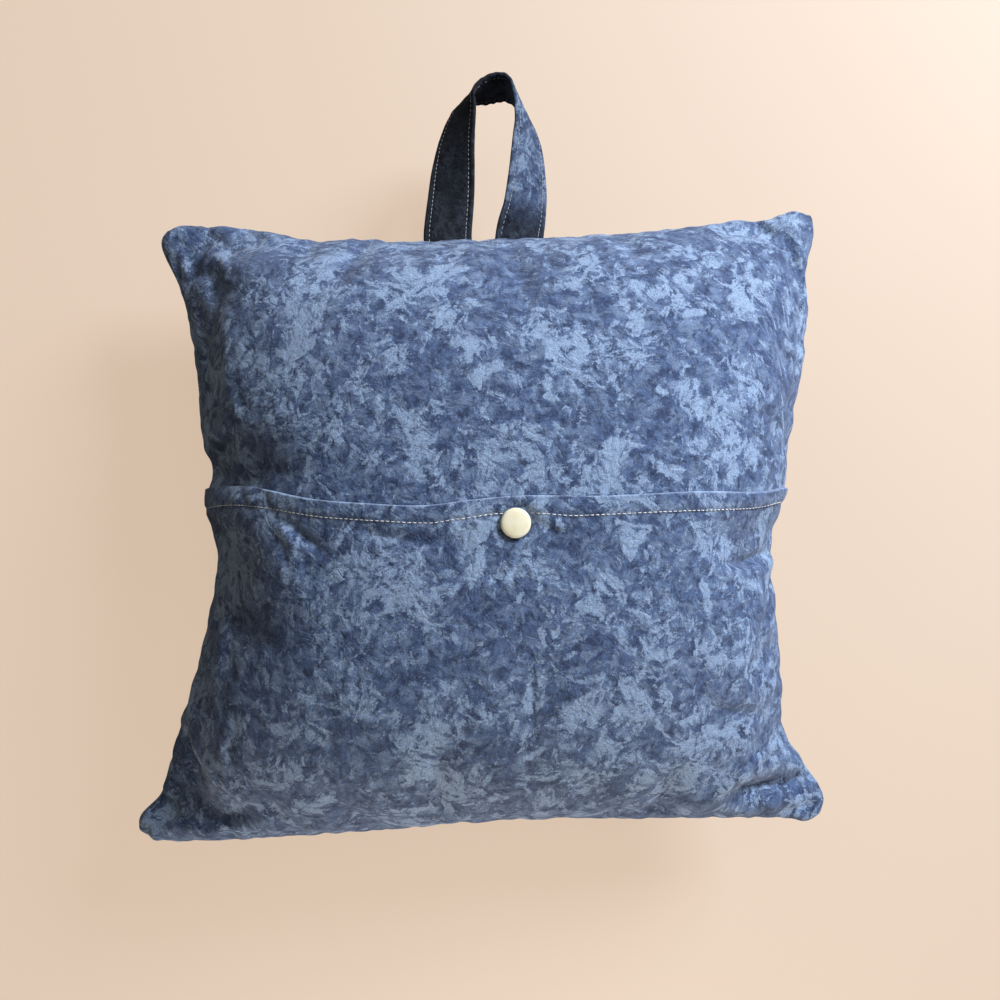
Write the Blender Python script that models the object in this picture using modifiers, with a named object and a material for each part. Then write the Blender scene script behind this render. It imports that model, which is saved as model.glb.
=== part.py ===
"""Book pillow: a filled cushion with a carry loop and a snapped pocket on its face.

The pillow lies on its back with the pocket side up and the loop pointing to +Y.
Its origin is the centre of the flat face that it rests on.
Sizes below are in millimetres, and the objects are built in metres.
"""

import math

import bmesh
import bpy
from mathutils import Vector

MM = 0.001

# Cushion: heights of the seam over the resting face and of the crown over the seam
SEAM_HEIGHT = 62.0
FRONT_CROWN = 75.0
CROWN_POWER = 2.6
CROWN_ROUNDING = 0.60
CROWN_DROP = 0.05
BACK_POWER = 3.0
BACK_ROUNDING = 0.62
BACK_FULLNESS = 1.16

# Tips of the four ears, and how far each stands over the seam plane
TOP_LEFT = (-195.0, 179.0)
TOP_RIGHT = (199.0, 186.5)
BOTTOM_LEFT = (-199.5, -182.5)
BOTTOM_RIGHT = (197.5, -171.0)
EAR_LIFT_TOP_LEFT = 5.0
EAR_LIFT_TOP_RIGHT = 3.0
EAR_LIFT_BOTTOM_LEFT = -5.0
EAR_LIFT_BOTTOM_RIGHT = 3.0
EAR_LIFT_POWER = 6.0

# Seams: share of the way from one ear to the next, and the distance drawn in there.
# A negative distance stands out past the straight line between the ears.
LEFT_SEAM = (
    (0.00, 0.0),
    (0.03, -1.0),
    (0.06, 9.0),
    (0.13, 16.5),
    (0.24, 27.0),
    (0.34, 35.0),
    (0.45, 40.5),
    (0.50, 36.0),
    (0.54, 33.0),
    (0.58, 36.0),
    (0.64, 27.5),
    (0.72, 20.5),
    (0.80, 16.0),
    (0.90, 10.0),
    (0.97, -1.5),
    (1.00, 0.0),
)
RIGHT_SEAM = (
    (0.00, 0.0),
    (0.03, -1.0),
    (0.07, 8.0),
    (0.12, 20.0),
    (0.15, 24.0),
    (0.28, 26.5),
    (0.40, 29.5),
    (0.47, 26.5),
    (0.53, 18.0),
    (0.60, 17.5),
    (0.71, 11.5),
    (0.80, 7.0),
    (0.90, 4.5),
    (0.97, -1.0),
    (1.00, 0.0),
)
TOP_SEAM = (
    (0.00, 0.0),
    (0.03, -3.5),
    (0.07, -2.0),
    (0.16, 4.0),
    (0.24, 10.5),
    (0.40, 13.0),
    (0.58, 12.0),
    (0.74, 9.0),
    (0.87, 2.5),
    (0.92, 3.0),
    (0.97, -3.5),
    (1.00, 0.0),
)
BOTTOM_SEAM = (
    (0.00, 0.0),
    (0.03, -4.5),
    (0.10, -2.5),
    (0.25, 2.0),
    (0.45, 5.5),
    (0.60, 6.0),
    (0.80, 3.5),
    (0.92, -1.0),
    (0.97, -4.0),
    (1.00, 0.0),
)

# Pocket: upper edge of its hem, as x and y on the face of the cushion
HEM_EDGE = (
    (-170.0, 18.5),
    (-140.0, 18.0),
    (-119.0, 16.0),
    (-87.0, 9.5),
    (-58.0, 7.0),
    (-26.0, 5.5),
    (-12.0, 7.5),
    (18.0, 10.5),
    (60.0, 10.5),
    (113.0, 13.7),
    (150.0, 15.0),
    (176.0, 19.5),
)
HEM_DEPTH = 9.0
CLOTH = 1.5
HEM_THICKNESS = 2.4

# Gap behind the pocket, and how much more it gapes midway between snap and side seam
POCKET_GAP = 0.5
POCKET_GAPE = 2.0
GAPE_WIDTH = 165.0
GAPE_REACH = 35.0

# Folds of the pocket side: two ends as x and y, then depth and half width.
# A negative depth is a ridge.
FOLDS = (
    ("top left ear hollow", -170.0, 160.0, -152.0, 130.0, 6.0, 12.0),
    ("top left tip", -183.0, 158.0, -178.0, 140.0, 3.0, 7.0),
    ("top right ear crease", 160.0, 178.0, 178.0, 166.0, 4.0, 7.0),
    ("top right ear ridge", 178.0, 158.0, 150.0, 140.0, -3.0, 13.0),
    ("right side wrinkle", 183.0, 150.0, 177.0, 66.0, 3.5, 8.0),
    ("right side inner wrinkle", 168.0, 120.0, 162.0, 50.0, 2.0, 10.0),
    ("face dimple", -4.0, 124.0, 18.0, 119.0, 1.6, 10.0),
    ("left pinch over hem", -162.0, 33.0, -122.0, 24.0, 6.0, 10.0),
    ("left side wrinkle", -168.0, 104.0, -150.0, 62.0, 3.0, 10.0),
    ("left pucker under hem", -160.0, 4.0, -142.0, -22.0, 4.0, 8.0),
    ("pocket wedge", -109.0, 5.0, -83.0, -15.0, 3.5, 8.0),
    ("pocket wedge ridge", -122.0, -2.0, -94.0, -34.0, -2.5, 11.0),
    ("trough under hem", -66.0, -5.0, -10.0, -13.0, 2.2, 9.0),
    ("snap pull left", 15.0, -13.0, 2.0, -34.0, 1.6, 8.0),
    ("snap pull right", 28.0, -7.0, 44.0, -16.0, 1.6, 8.0),
    ("right fold under hem", 164.0, -12.0, 146.0, -24.0, 4.5, 8.0),
    ("right fold end", 146.0, -24.0, 126.0, -22.0, 2.5, 8.0),
    ("right diagonal wrinkle", 136.0, -36.0, 160.0, -70.0, 2.5, 9.0),
    ("right lower crease", 118.0, -100.0, 158.0, -104.0, 3.0, 9.0),
    ("right lower trough", 112.0, -80.0, 119.0, -100.0, 2.0, 9.0),
    ("middle crease", 26.0, -66.0, 27.0, -130.0, 1.5, 9.0),
    ("left long wrinkle", -143.0, -36.0, -152.0, -98.0, 3.5, 9.0),
    ("bottom right ear fold", 146.0, -149.0, 184.0, -149.0, 7.0, 9.0),
    ("bottom right ear ridge", 140.0, -132.0, 168.0, -136.0, -3.0, 10.0),
    ("bottom right tip", 172.0, -166.0, 186.0, -164.0, 2.5, 6.0),
    ("bottom left ear hollow", -184.0, -165.0, -166.0, -150.0, 5.0, 9.0),
    ("bottom left side hollow", -172.0, -128.0, -158.0, -138.0, 4.0, 9.0),
    ("bottom left wrinkle", -150.0, -158.0, -112.0, -146.0, 2.5, 10.0),
    ("bottom wrinkle", -60.0, -163.0, -20.0, -152.0, 2.5, 10.0),
    ("bottom right wrinkle", 60.0, -160.0, 100.0, -148.0, 2.5, 10.0),
)
FOLD_FADE = 14.0

# Snap cap on the hem
SNAP_X = 17.6
SNAP_Y = -2.4
SNAP_RADIUS = 7.8
SNAP_EDGE = 1.4
SNAP_DOME = 1.7
SNAP_LIP = 0.5
SNAP_GAP = 0.35
SNAP_FACETS = 28
DOME_STEPS = 6
SEAT_POINTS = 12

# Handle: one strap that stands on the top seam, in the seam plane.
# Each row is the strap's centre line, as x and the height over the seam under its two ends,
# and the turn of its width out of that plane.
STRAP_WIDTH = 29.5
STRAP_THICKNESS = 2.6
STRAP_POINTS = 49
SEAM_GAP = 0.4
HANDLE_LINE = (
    (-22.0, 0.0, 0.0),
    (-22.0, 8.0, 3.0),
    (-20.0, 26.5, 14.0),
    (-18.3, 43.5, 27.0),
    (-16.0, 64.0, 43.0),
    (-12.8, 79.5, 57.0),
    (-9.4, 90.0, 71.0),
    (-5.3, 96.0, 84.0),
    (0.5, 98.0, 90.0),
    (7.0, 98.5, 90.0),
    (12.5, 97.0, 90.0),
    (17.0, 92.5, 84.0),
    (20.6, 84.0, 74.0),
    (23.6, 72.0, 63.0),
    (25.2, 58.0, 51.0),
    (25.4, 37.0, 38.0),
    (24.2, 20.0, 22.0),
    (23.0, 8.0, 6.0),
    (23.0, 0.0, 0.0),
)

# Facets of the cloth: columns across, rows under the pocket and rows over it
COLUMNS = 44
POCKET_ROWS = 17
UPPER_ROWS = 19
CLOSE_COLUMNS = 0.38
CLOSE_ROWS = 1.35

# Widest angle between facets that is still shaded smooth
CLOTH_SMOOTH_ANGLE = 60.0
SNAP_SMOOTH_ANGLE = 35.0
WELD = 0.01 * MM


def run_through(rows, place, column=1):
    """Value of a column of a table at a place in its first column, on a smooth line."""
    last = len(rows) - 1
    index = 0
    while index < last - 1 and place > rows[index + 1][0]:
        index += 1
    before = rows[max(index - 1, 0)]
    start = rows[index]
    end = rows[index + 1]
    after = rows[min(index + 2, last)]
    length = end[0] - start[0]
    share = (place - start[0]) / length
    start_slope = (end[column] - before[column]) / (end[0] - before[0])
    end_slope = (after[column] - start[column]) / (after[0] - start[0])
    square = share * share
    cube = square * share
    value = (2 * cube - 3 * square + 1) * start[column]
    value += (cube - 2 * square + share) * length * start_slope
    value += (3 * square - 2 * cube) * end[column]
    value += (cube - square) * length * end_slope
    return value


def seam_point(start, end, seam, share, inward):
    """Point of a seam between two ears, drawn in along the inward direction."""
    drawn = run_through(seam, share)
    x = start[0] + (end[0] - start[0]) * share + inward[0] * drawn
    y = start[1] + (end[1] - start[1]) * share + inward[1] * drawn
    return Vector((x, y))


def plan_point(across, along):
    """Place in plan of a point of the cloth, from 0 to 1 across and from bottom to top."""
    left = seam_point(BOTTOM_LEFT, TOP_LEFT, LEFT_SEAM, along, (1, 0))
    right = seam_point(BOTTOM_RIGHT, TOP_RIGHT, RIGHT_SEAM, along, (-1, 0))
    bottom = seam_point(BOTTOM_LEFT, BOTTOM_RIGHT, BOTTOM_SEAM, across, (0, 1))
    top = seam_point(TOP_LEFT, TOP_RIGHT, TOP_SEAM, across, (0, -1))
    between_sides = left.lerp(right, across)
    between_ends = bottom.lerp(top, along)
    low = Vector(BOTTOM_LEFT).lerp(Vector(BOTTOM_RIGHT), across)
    high = Vector(TOP_LEFT).lerp(Vector(TOP_RIGHT), across)
    return between_sides + between_ends - low.lerp(high, along)


def arch(place, power, rounding):
    """Height of a crowned section, 1 at its middle and 0 at its seams."""
    return max(0.0, 1.0 - abs(place) ** power) ** rounding


def seam_level(across, along):
    """Height of the seam plane, which lifts or droops towards the ears."""
    side = abs(2.0 * across - 1.0) ** EAR_LIFT_POWER
    end = abs(2.0 * along - 1.0) ** EAR_LIFT_POWER
    low = EAR_LIFT_BOTTOM_LEFT if across < 0.5 else EAR_LIFT_BOTTOM_RIGHT
    high = EAR_LIFT_TOP_LEFT if across < 0.5 else EAR_LIFT_TOP_RIGHT
    lift = low if along < 0.5 else high
    return SEAM_HEIGHT + lift * side * end


def fold_depth(plan):
    """Depth that the folds press into the pocket side at a place in plan."""
    depth = 0.0
    for _, x_from, y_from, x_to, y_to, deep, half_width in FOLDS:
        start = Vector((x_from, y_from))
        run = Vector((x_to, y_to)) - start
        share = (plan - start).dot(run) / run.length_squared
        nearest = start + run * min(1.0, max(0.0, share))
        distance = (plan - nearest).length
        depth += deep * math.exp(-((distance / half_width) ** 2))
    return depth


def front_point(across, along):
    """Point of the pocket side of the cushion."""
    plan = plan_point(across, along)
    u = 2.0 * across - 1.0
    v = 2.0 * along - 1.0
    v += CROWN_DROP * (1.0 - v * v)
    crown = arch(u, CROWN_POWER, CROWN_ROUNDING) * arch(v, CROWN_POWER, CROWN_ROUNDING)
    rise = FRONT_CROWN * crown
    rise -= fold_depth(plan) * min(1.0, rise / FOLD_FADE)
    return Vector((plan.x, plan.y, seam_level(across, along) + rise))


def back_point(across, along):
    """Point of the resting side, pressed flat where it meets the surface."""
    plan = plan_point(across, along)
    u = 2.0 * across - 1.0
    v = 2.0 * along - 1.0
    fill = BACK_FULLNESS * arch(u, BACK_POWER, BACK_ROUNDING) * arch(v, BACK_POWER, BACK_ROUNDING)
    level = seam_level(across, along)
    height = max(0.0, level * (1.0 - fill))
    return Vector((plan.x, plan.y, height))


def hem_share(across):
    """Share of the way from bottom to top at which the hem's edge crosses a column."""
    low = 0.0
    high = 1.0
    while high - low > 1e-6:
        middle = 0.5 * (low + high)
        plan = plan_point(across, middle)
        if plan.y < run_through(HEM_EDGE, plan.x):
            low = middle
        else:
            high = middle
    return low


def column_share(step):
    """Share of the way across of a grid line, closer together near the side seams."""
    even = (1.0 - CLOSE_COLUMNS) * step
    closer = CLOSE_COLUMNS * math.sin(0.5 * math.pi * step)
    return 0.5 + 0.5 * (even + closer)


def row_share(row, across):
    """Share of the way up of a row, closer near the seams, with one row for the hem."""
    edge = hem_share(across)
    hem_foot = edge - HEM_DEPTH / (TOP_LEFT[1] - BOTTOM_LEFT[1])
    below = POCKET_ROWS - 1
    if row <= below:
        return hem_foot * (row / below) ** CLOSE_ROWS
    if row <= POCKET_ROWS:
        return hem_foot + (edge - hem_foot) * (row - below)
    rest = (row - POCKET_ROWS) / UPPER_ROWS
    return 1.0 - (1.0 - edge) * (1.0 - rest) ** CLOSE_ROWS


def add_cloth_grid(form, rows, place):
    """Grid of facets whose points a function of across and along puts in place."""
    made = bmesh.ops.create_grid(form, x_segments=COLUMNS, y_segments=rows, size=1.0)
    for vert in made["verts"]:
        across = column_share(vert.co.x)
        row = 0.5 * (vert.co.y + 1.0) * rows
        vert.co = place(across, row_share(round(row), across)) * MM
    return made["verts"]


def split_facets(form):
    """Cut every facet along the same diagonal, so that layers of cloth stay apart."""
    bmesh.ops.triangulate(form, faces=form.faces[:], quad_method="FIXED")


def finish_mesh(name, form, collection, smooth_angle):
    """Turn a bmesh into a smooth-shaded object of a collection."""
    mesh = bpy.data.meshes.new(name)
    form.to_mesh(mesh)
    form.free()
    mesh.shade_smooth()
    mesh.set_sharp_from_angle(angle=math.radians(smooth_angle))
    made = bpy.data.objects.new(name, mesh)
    collection.objects.link(made)
    return made


def add_material(owner, name, colour, roughness, metallic=0.0):
    """Give an object its own Principled material."""
    material = bpy.data.materials.new(name)
    material.use_nodes = True
    shader = material.node_tree.nodes["Principled BSDF"]
    shader.inputs["Base Color"].default_value = (*colour, 1.0)
    shader.inputs["Roughness"].default_value = roughness
    shader.inputs["Metallic"].default_value = metallic
    owner.data.materials.append(material)


def build_cushion(collection):
    """Filled cover: a crowned front and a flattened back that meet in one seam."""
    form = bmesh.new()
    rows = POCKET_ROWS + UPPER_ROWS
    add_cloth_grid(form, rows, front_point)
    front_faces = set(form.faces)
    add_cloth_grid(form, rows, back_point)
    back_faces = [face for face in form.faces if face not in front_faces]
    bmesh.ops.reverse_faces(form, faces=back_faces)
    bmesh.ops.remove_doubles(form, verts=form.verts[:], dist=WELD)
    split_facets(form)
    cushion = finish_mesh("cushion", form, collection, CLOTH_SMOOTH_ANGLE)
    add_material(cushion, "cushion cloth", (0.13, 0.19, 0.34), 0.92)
    return cushion


def pocket_gap(point):
    """Distance from the cushion to the pocket, which gapes a little beside the snap."""
    below_hem = max(0.0, run_through(HEM_EDGE, point.x) - point.y)
    beside_snap = math.sin(math.pi * min(1.0, abs(point.x - SNAP_X) / GAPE_WIDTH)) ** 2
    gape = POCKET_GAPE * beside_snap * math.exp(-((below_hem / GAPE_REACH) ** 2))
    return POCKET_GAP + gape


def build_pocket(collection):
    """Pocket panel over the lower half of the face, thicker along its folded hem."""
    form = bmesh.new()
    add_cloth_grid(form, POCKET_ROWS, front_point)
    split_facets(form)
    form.normal_update()
    in_hem = []
    lifted = []
    for vert in form.verts:
        point = vert.co / MM
        in_hem.append(point.y > run_through(HEM_EDGE, point.x) - 1.5 * HEM_DEPTH)
        lifted.append(vert.co + vert.normal * pocket_gap(point) * MM)
    for vert, place in zip(form.verts, lifted):
        vert.co = place
    pocket = finish_mesh("pocket_panel", form, collection, CLOTH_SMOOTH_ANGLE)
    hem = pocket.vertex_groups.new(name="hem")
    for index, doubled in enumerate(in_hem):
        hem.add([index], 1.0 if doubled else CLOTH / HEM_THICKNESS, "REPLACE")
    shell = pocket.modifiers.new("cloth", "SOLIDIFY")
    shell.thickness = HEM_THICKNESS * MM
    shell.offset = 1.0
    shell.vertex_group = "hem"
    add_material(pocket, "pocket cloth", (0.13, 0.19, 0.34), 0.92)
    return pocket


def seam_under_strap(x):
    """Highest point of the top seam under an end of the strap."""
    highest = -math.inf
    for step in range(5):
        place = x + STRAP_WIDTH * (0.25 * step - 0.5)
        across = (place - TOP_LEFT[0]) / (TOP_RIGHT[0] - TOP_LEFT[0])
        highest = max(highest, plan_point(across, 1.0).y)
    return highest + SEAM_GAP


def build_handle(collection):
    """Carry loop: one strap that turns a quarter as it rises from the top seam."""
    line = bpy.data.curves.new("handle_strap", "CURVE")
    line.dimensions = "3D"
    line.twist_mode = "Z_UP"
    line.extrude = (0.5 * STRAP_WIDTH - 0.5 * STRAP_THICKNESS) * MM
    line.bevel_depth = 0.5 * STRAP_THICKNESS * MM
    line.bevel_resolution = 1
    line.use_fill_caps = True
    strap = line.splines.new("POLY")
    strap.points.add(STRAP_POINTS - 1)
    stations = [(float(index),) + row for index, row in enumerate(HANDLE_LINE)]
    last = len(HANDLE_LINE) - 1
    left_foot = seam_under_strap(HANDLE_LINE[0][0])
    right_foot = seam_under_strap(HANDLE_LINE[-1][0])
    for index, point in enumerate(strap.points):
        place = last * index / (STRAP_POINTS - 1)
        foot = left_foot + (right_foot - left_foot) * place / last
        x = run_through(stations, place, 1)
        y = run_through(stations, place, 2)
        turn = run_through(stations, place, 3)
        side = 1.0 if place < 0.5 * last else -1.0
        point.co = (x * MM, (foot + y) * MM, SEAM_HEIGHT * MM, 1.0)
        point.tilt = side * math.radians(90.0 - min(90.0, max(0.0, turn)))
    handle = bpy.data.objects.new("handle_strap", line)
    collection.objects.link(handle)
    add_material(handle, "handle cloth", (0.10, 0.15, 0.28), 0.92)
    return handle


def build_snap(collection):
    """Domed snap cap, a turned profile with a flat underside."""
    form = bmesh.new()
    profile = []
    for step in range(DOME_STEPS):
        angle = 0.5 * math.pi * step / DOME_STEPS
        height = SNAP_EDGE + SNAP_DOME * math.cos(angle)
        profile.append((SNAP_RADIUS * math.sin(angle), height))
    profile.append((SNAP_RADIUS, SNAP_EDGE))
    profile.append((SNAP_RADIUS, SNAP_LIP))
    profile.append((SNAP_RADIUS - SNAP_LIP, 0.0))
    profile.append((0.0, 0.0))
    points = [form.verts.new((x * MM, 0.0, z * MM)) for x, z in profile]
    for start, end in zip(points, points[1:]):
        form.edges.new((start, end))
    snap = finish_mesh("snap_cap", form, collection, SNAP_SMOOTH_ANGLE)
    turn = snap.modifiers.new("turn", "SCREW")
    turn.steps = SNAP_FACETS
    turn.render_steps = SNAP_FACETS
    turn.use_merge_vertices = True
    turn.merge_threshold = WELD
    add_material(snap, "snap cap", (0.80, 0.74, 0.58), 0.28)
    return snap


def cloth_under(cloth, x, y):
    """Point of the evaluated cloth straight under a place in plan."""
    start = Vector((x * MM, y * MM, 2.0 * (SEAM_HEIGHT + FRONT_CROWN) * MM))
    return cloth.ray_cast(start, Vector((0.0, 0.0, -1.0)))[1]


def seat_snap(snap, pocket):
    """Lay the cap on the hem, square to the cloth under it."""
    bpy.context.view_layer.update()
    cloth = pocket.evaluated_get(bpy.context.evaluated_depsgraph_get())
    around = []
    for step in range(SEAT_POINTS):
        angle = 2.0 * math.pi * step / SEAT_POINTS
        x = SNAP_X + SNAP_RADIUS * math.cos(angle)
        y = SNAP_Y + SNAP_RADIUS * math.sin(angle)
        around.append(cloth_under(cloth, x, y))
    centre = sum(around, Vector()) / SEAT_POINTS
    normal = Vector()
    for start, end in zip(around, around[1:] + around[:1]):
        normal += (start - centre).cross(end - centre)
    normal.normalize()
    under = around + [cloth_under(cloth, SNAP_X, SNAP_Y)]
    highest = max((place - centre).dot(normal) for place in under)
    snap.location = centre + normal * (highest + SNAP_GAP * MM)
    snap.rotation_euler = normal.to_track_quat("Z", "Y").to_euler()


def main():
    for existing in list(bpy.data.objects):
        bpy.data.objects.remove(existing, do_unlink=True)
    collection = bpy.data.collections.new("book pillow")
    bpy.context.scene.collection.children.link(collection)
    build_cushion(collection)
    pocket = build_pocket(collection)
    build_handle(collection)
    snap = build_snap(collection)
    seat_snap(snap, pocket)


main()
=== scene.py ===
import math
import random

import bmesh
import bpy
import numpy as np
from mathutils import Matrix, Vector, noise
from mathutils.bvhtree import BVHTree
from mathutils.kdtree import KDTree


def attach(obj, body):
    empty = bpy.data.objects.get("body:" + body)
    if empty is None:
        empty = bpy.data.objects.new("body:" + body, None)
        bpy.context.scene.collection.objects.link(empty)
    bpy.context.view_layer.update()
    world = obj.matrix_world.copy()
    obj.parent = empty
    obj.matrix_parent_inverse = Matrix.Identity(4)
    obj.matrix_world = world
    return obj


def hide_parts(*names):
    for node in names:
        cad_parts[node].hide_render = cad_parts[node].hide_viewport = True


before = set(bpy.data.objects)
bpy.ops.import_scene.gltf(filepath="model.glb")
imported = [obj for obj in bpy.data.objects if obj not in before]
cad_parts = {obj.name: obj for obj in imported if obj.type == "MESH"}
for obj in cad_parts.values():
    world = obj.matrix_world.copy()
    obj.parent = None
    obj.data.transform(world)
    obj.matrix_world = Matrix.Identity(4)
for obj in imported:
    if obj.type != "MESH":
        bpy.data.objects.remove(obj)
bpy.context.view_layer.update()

# Looks of the book pillow: cover, pocket panel, carry loop, topstitching and snap.
# Sizes in the tables are in millimetres, and the objects are in metres.
MM = 0.001
WELD = 0.01 * MM
NEARLY_ONE = 0.999

# Height over everything, from which rays are cast down on the pieces
HIGH = 0.3

# Hem of the pocket on the face, as x and y: its folded edge and its line of stitches
HEM_EDGE = (
    (-170.0, 18.5),
    (-140.0, 18.0),
    (-119.0, 16.0),
    (-87.0, 9.5),
    (-58.0, 7.0),
    (-26.0, 5.5),
    (-12.0, 7.5),
    (18.0, 10.5),
    (60.0, 10.5),
    (113.0, 13.7),
    (150.0, 15.0),
    (176.0, 19.5),
)
STITCH_LINE = (
    (-175.0, 7.4),
    (-157.0, 7.8),
    (-139.0, 8.1),
    (-122.0, 7.0),
    (-109.0, 5.3),
    (-95.0, 2.9),
    (-80.0, 0.7),
    (-66.0, -0.4),
    (-50.0, -1.4),
    (-25.0, -2.5),
    (-14.0, -1.0),
    (-3.5, 0.4),
    (7.4, 2.0),
    (24.8, 2.5),
    (45.0, 1.2),
    (59.0, 1.6),
    (98.0, 3.6),
    (137.0, 5.5),
    (152.0, 7.0),
    (165.0, 9.7),
    (176.0, 12.0),
)

# Creases of the pocket side: depth, half width and ridge beside it, then points as x and y.
# The ridge stands to the left of the line's own direction, or to its right where it is negative.
CREASES = {
    "top left ear hollow": (1.9, 5.0, 1.0, ((-176, 151), (-167, 149), (-157, 143))),
    "top left ear tip": (1.6, 3.0, 0.6, ((-188, 160), (-183, 152), (-178, 141))),
    "top left edge dip": (1.7, 4.0, 0.8, ((-167, 178), (-160, 170), (-149, 161))),
    "top seam roll": (1.0, 4.0, 0.9, ((-159, 169), (-137, 164), (-112, 158), (-84, 152))),
    "left side hollow": (1.8, 7.0, 0.8, ((-163, 118), (-160, 95), (-156, 66))),
    "left side wrinkle": (1.0, 2.6, 0.7, ((-171, 134), (-167, 108), (-163, 82), (-159, 56))),
    "left inner wrinkle": (0.8, 3.0, 0.5, ((-153, 112), (-149, 80), (-145, 50))),
    "left pinch": (3.2, 4.0, 1.4, ((-164, 36), (-154, 37), (-142, 43), (-132, 46))),
    "left pinch over hem": (2.6, 4.0, 1.0, ((-162, 30), (-149, 25), (-120, 19))),
    "top right notch": (0.7, 1.8, 0.5, ((161, 184), (165, 178), (171, 173), (178, 167))),
    "top right second fold": (0.7, 2.0, 0.4, ((160, 174), (170, 170), (177, 161))),
    "top right ear line": (1.4, 3.0, 0.7, ((178, 167), (182, 158), (184, 147))),
    "right long wrinkle": (1.6, 2.4, 1.2, ((187, 152), (185, 119), (180, 83), (174, 50))),
    "right inner wrinkle": (1.0, 3.0, 0.6, ((178, 154), (176, 128), (170, 97), (167, 76))),
    "small upright crease": (0.8, 1.8, 0.6, ((114, 80), (114, 64), (115, 47))),
    "face dimple": (1.0, 4.5, 0.0, ((2, 123), (7, 121), (12, 122))),
    "hem crease": (0.8, 1.8, 0.4, ((-112, 15), (-109, 9), (-106, 3))),
    "hem crease near side": (0.9, 2.0, 0.5, ((-129, 16), (-124, 9), (-119, 4))),
    "wedge under hem": (1.5, 2.4, -1.1, ((-108, 4), (-96, -4), (-83, -14), (-76, -19))),
    "wedge side": (1.0, 2.4, 0.9, ((-108, -2), (-100, -15), (-97, -28))),
    "left notch": (2.6, 3.2, 1.0, ((-156, 0), (-149, -6), (-144, -15))),
    "left second notch": (1.6, 2.8, 0.8, ((-157, -16), (-151, -20), (-146, -31))),
    "trough under hem": (1.3, 3.2, 0.7, ((-66, -4), (-50, -9), (-32, -11), (-8, -11))),
    "right fold": (5.2, 3.0, 1.6, ((166, -18), (154, -21), (139, -24), (127, -23))),
    "right short wrinkle": (1.0, 2.4, 0.6, ((147, -38), (142, -49))),
    "right slanted wrinkle": (1.3, 2.6, 0.8, ((160, -44), (153, -56), (147, -67))),
    "right hooked crease": (
        0.8, 2.4, 0.6, ((112, -76), (112, -87), (120, -98), (136, -102), (155, -106)),
    ),
    "middle crease": (0.5, 1.8, 0.4, ((25, -60), (25, -80), (27, -98), (27, -112))),
    "bottom right ear fold": (
        4.8, 4.2, 1.8, ((138, -148), (155, -152), (174, -152), (193, -146)),
    ),
    "bottom right ear wrinkle": (1.0, 2.4, 0.7, ((181, -133), (163, -132), (147, -136))),
    "bottom right upper wrinkle": (0.9, 2.2, 0.6, ((169, -123), (154, -126), (140, -131))),
    "bottom right tip": (1.5, 2.4, 0.6, ((172, -168), (180, -166), (187, -164))),
    "bottom right long wrinkle": (0.9, 3.0, 0.7, ((38, -163), (87, -157), (121, -152))),
    "bottom middle wrinkle": (0.9, 3.0, 0.6, ((-35, -167), (10, -163), (58, -159))),
    "bottom left long wrinkle": (1.0, 3.2, 0.7, ((-147, -174), (-102, -170), (-56, -168))),
    "left long wrinkle": (1.3, 3.0, 0.9, ((-147, -36), (-150, -67), (-153, -100))),
    "left lower wrinkle": (1.2, 2.8, 0.8, ((-160, -84), (-155, -95), (-146, -106))),
    "left lower hollow": (2.0, 4.0, 0.9, ((-173, -120), (-164, -128), (-156, -139))),
    "bottom left ear line": (2.0, 2.8, 1.0, ((-191, -156), (-176, -165), (-179, -178))),
    "bottom left ear hollow": (1.8, 4.0, 0.6, ((-187, -160), (-180, -165), (-172, -170))),
    "snap pull left": (1.1, 2.2, 0.9, ((17, -12), (13, -19), (5, -30))),
    "snap second pull": (0.8, 2.0, 0.6, ((13, -11), (8, -15), (0, -22))),
    "snap pull right": (1.1, 2.4, 0.8, ((26, -1), (32, -4), (41, -10))),
    "snap lower pull": (0.6, 1.8, 0.5, ((21, -13), (19, -21), (15, -32))),
    "snap upper crease": (0.8, 1.5, 0.5, ((22, 7), (26, 4), (28, -1))),
}

# Shape of a crease: how far it reaches in its half widths, how much its line wanders,
# and where its bank stands beside it and how wide
CREASE_REACH = 6.0
CREASE_WANDER = 0.9
WANDER_PER_MM = 0.14
BANK_PLACE = 2.0
BANK_WIDTH = 1.3

# Small wrinkles scattered near the side seams
SHORT_WRINKLES = 70
WRINKLE_SEED = 4

# How far each side is drawn outwards or inwards, as place along the side and distance
OUTLINE_PULL = {
    "left": (
        (-190, -5.0), (-176, -4.2), (-160, -0.6), (-119, 0.0), (-85, 1.8), (-35, 0.6),
        (-5, -1.2), (30, -0.6), (60, 1.6), (85, 4.2), (104, 4.5), (121, 3.0), (140, 0.8),
        (165, 0.0),
    ),
    "right": (
        (-190, 1.2), (-165, 1.8), (-143, 1.8), (-119, 0.4), (-100, 2.2), (-60, 2.0),
        (-23, 1.8), (-5, 0.0), (15, -1.0), (35, 0.6), (60, 1.8), (97, 2.6), (121, 2.4),
        (150, 2.0), (185, 1.6),
    ),
    "bottom": (
        (-200, -0.4), (-179, -1.2), (-155, -3.2), (-119, -3.4), (-83, -4.6), (-35, -4.0),
        (0, -3.4), (37, -2.4), (73, -2.6), (121, -2.0), (140, -1.0), (160, 0.6), (200, 1.0),
    ),
    "top": (
        (-200, -2.0), (-167, -2.6), (-143, -0.6), (-100, -0.8), (-80, 2.0), (-55, 1.4),
        (0, 1.6), (49, 1.2), (109, 0.6), (133, -0.6), (169, 0.8), (200, 0.0),
    ),
}

# Distance from the middle at which the pull starts and at which it is full
PULL_START = 60.0
PULL_FULL = 165.0

# Parts of the cover, told apart by their faces' material while it is shaped
BACK = 0
UNDER_POCKET = 1
ABOVE_POCKET = 2

# Grid over the cushion on which lengths along its threads are added up
GRID_STEP = 4.0 * MM
GRID_REACH = 54

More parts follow.
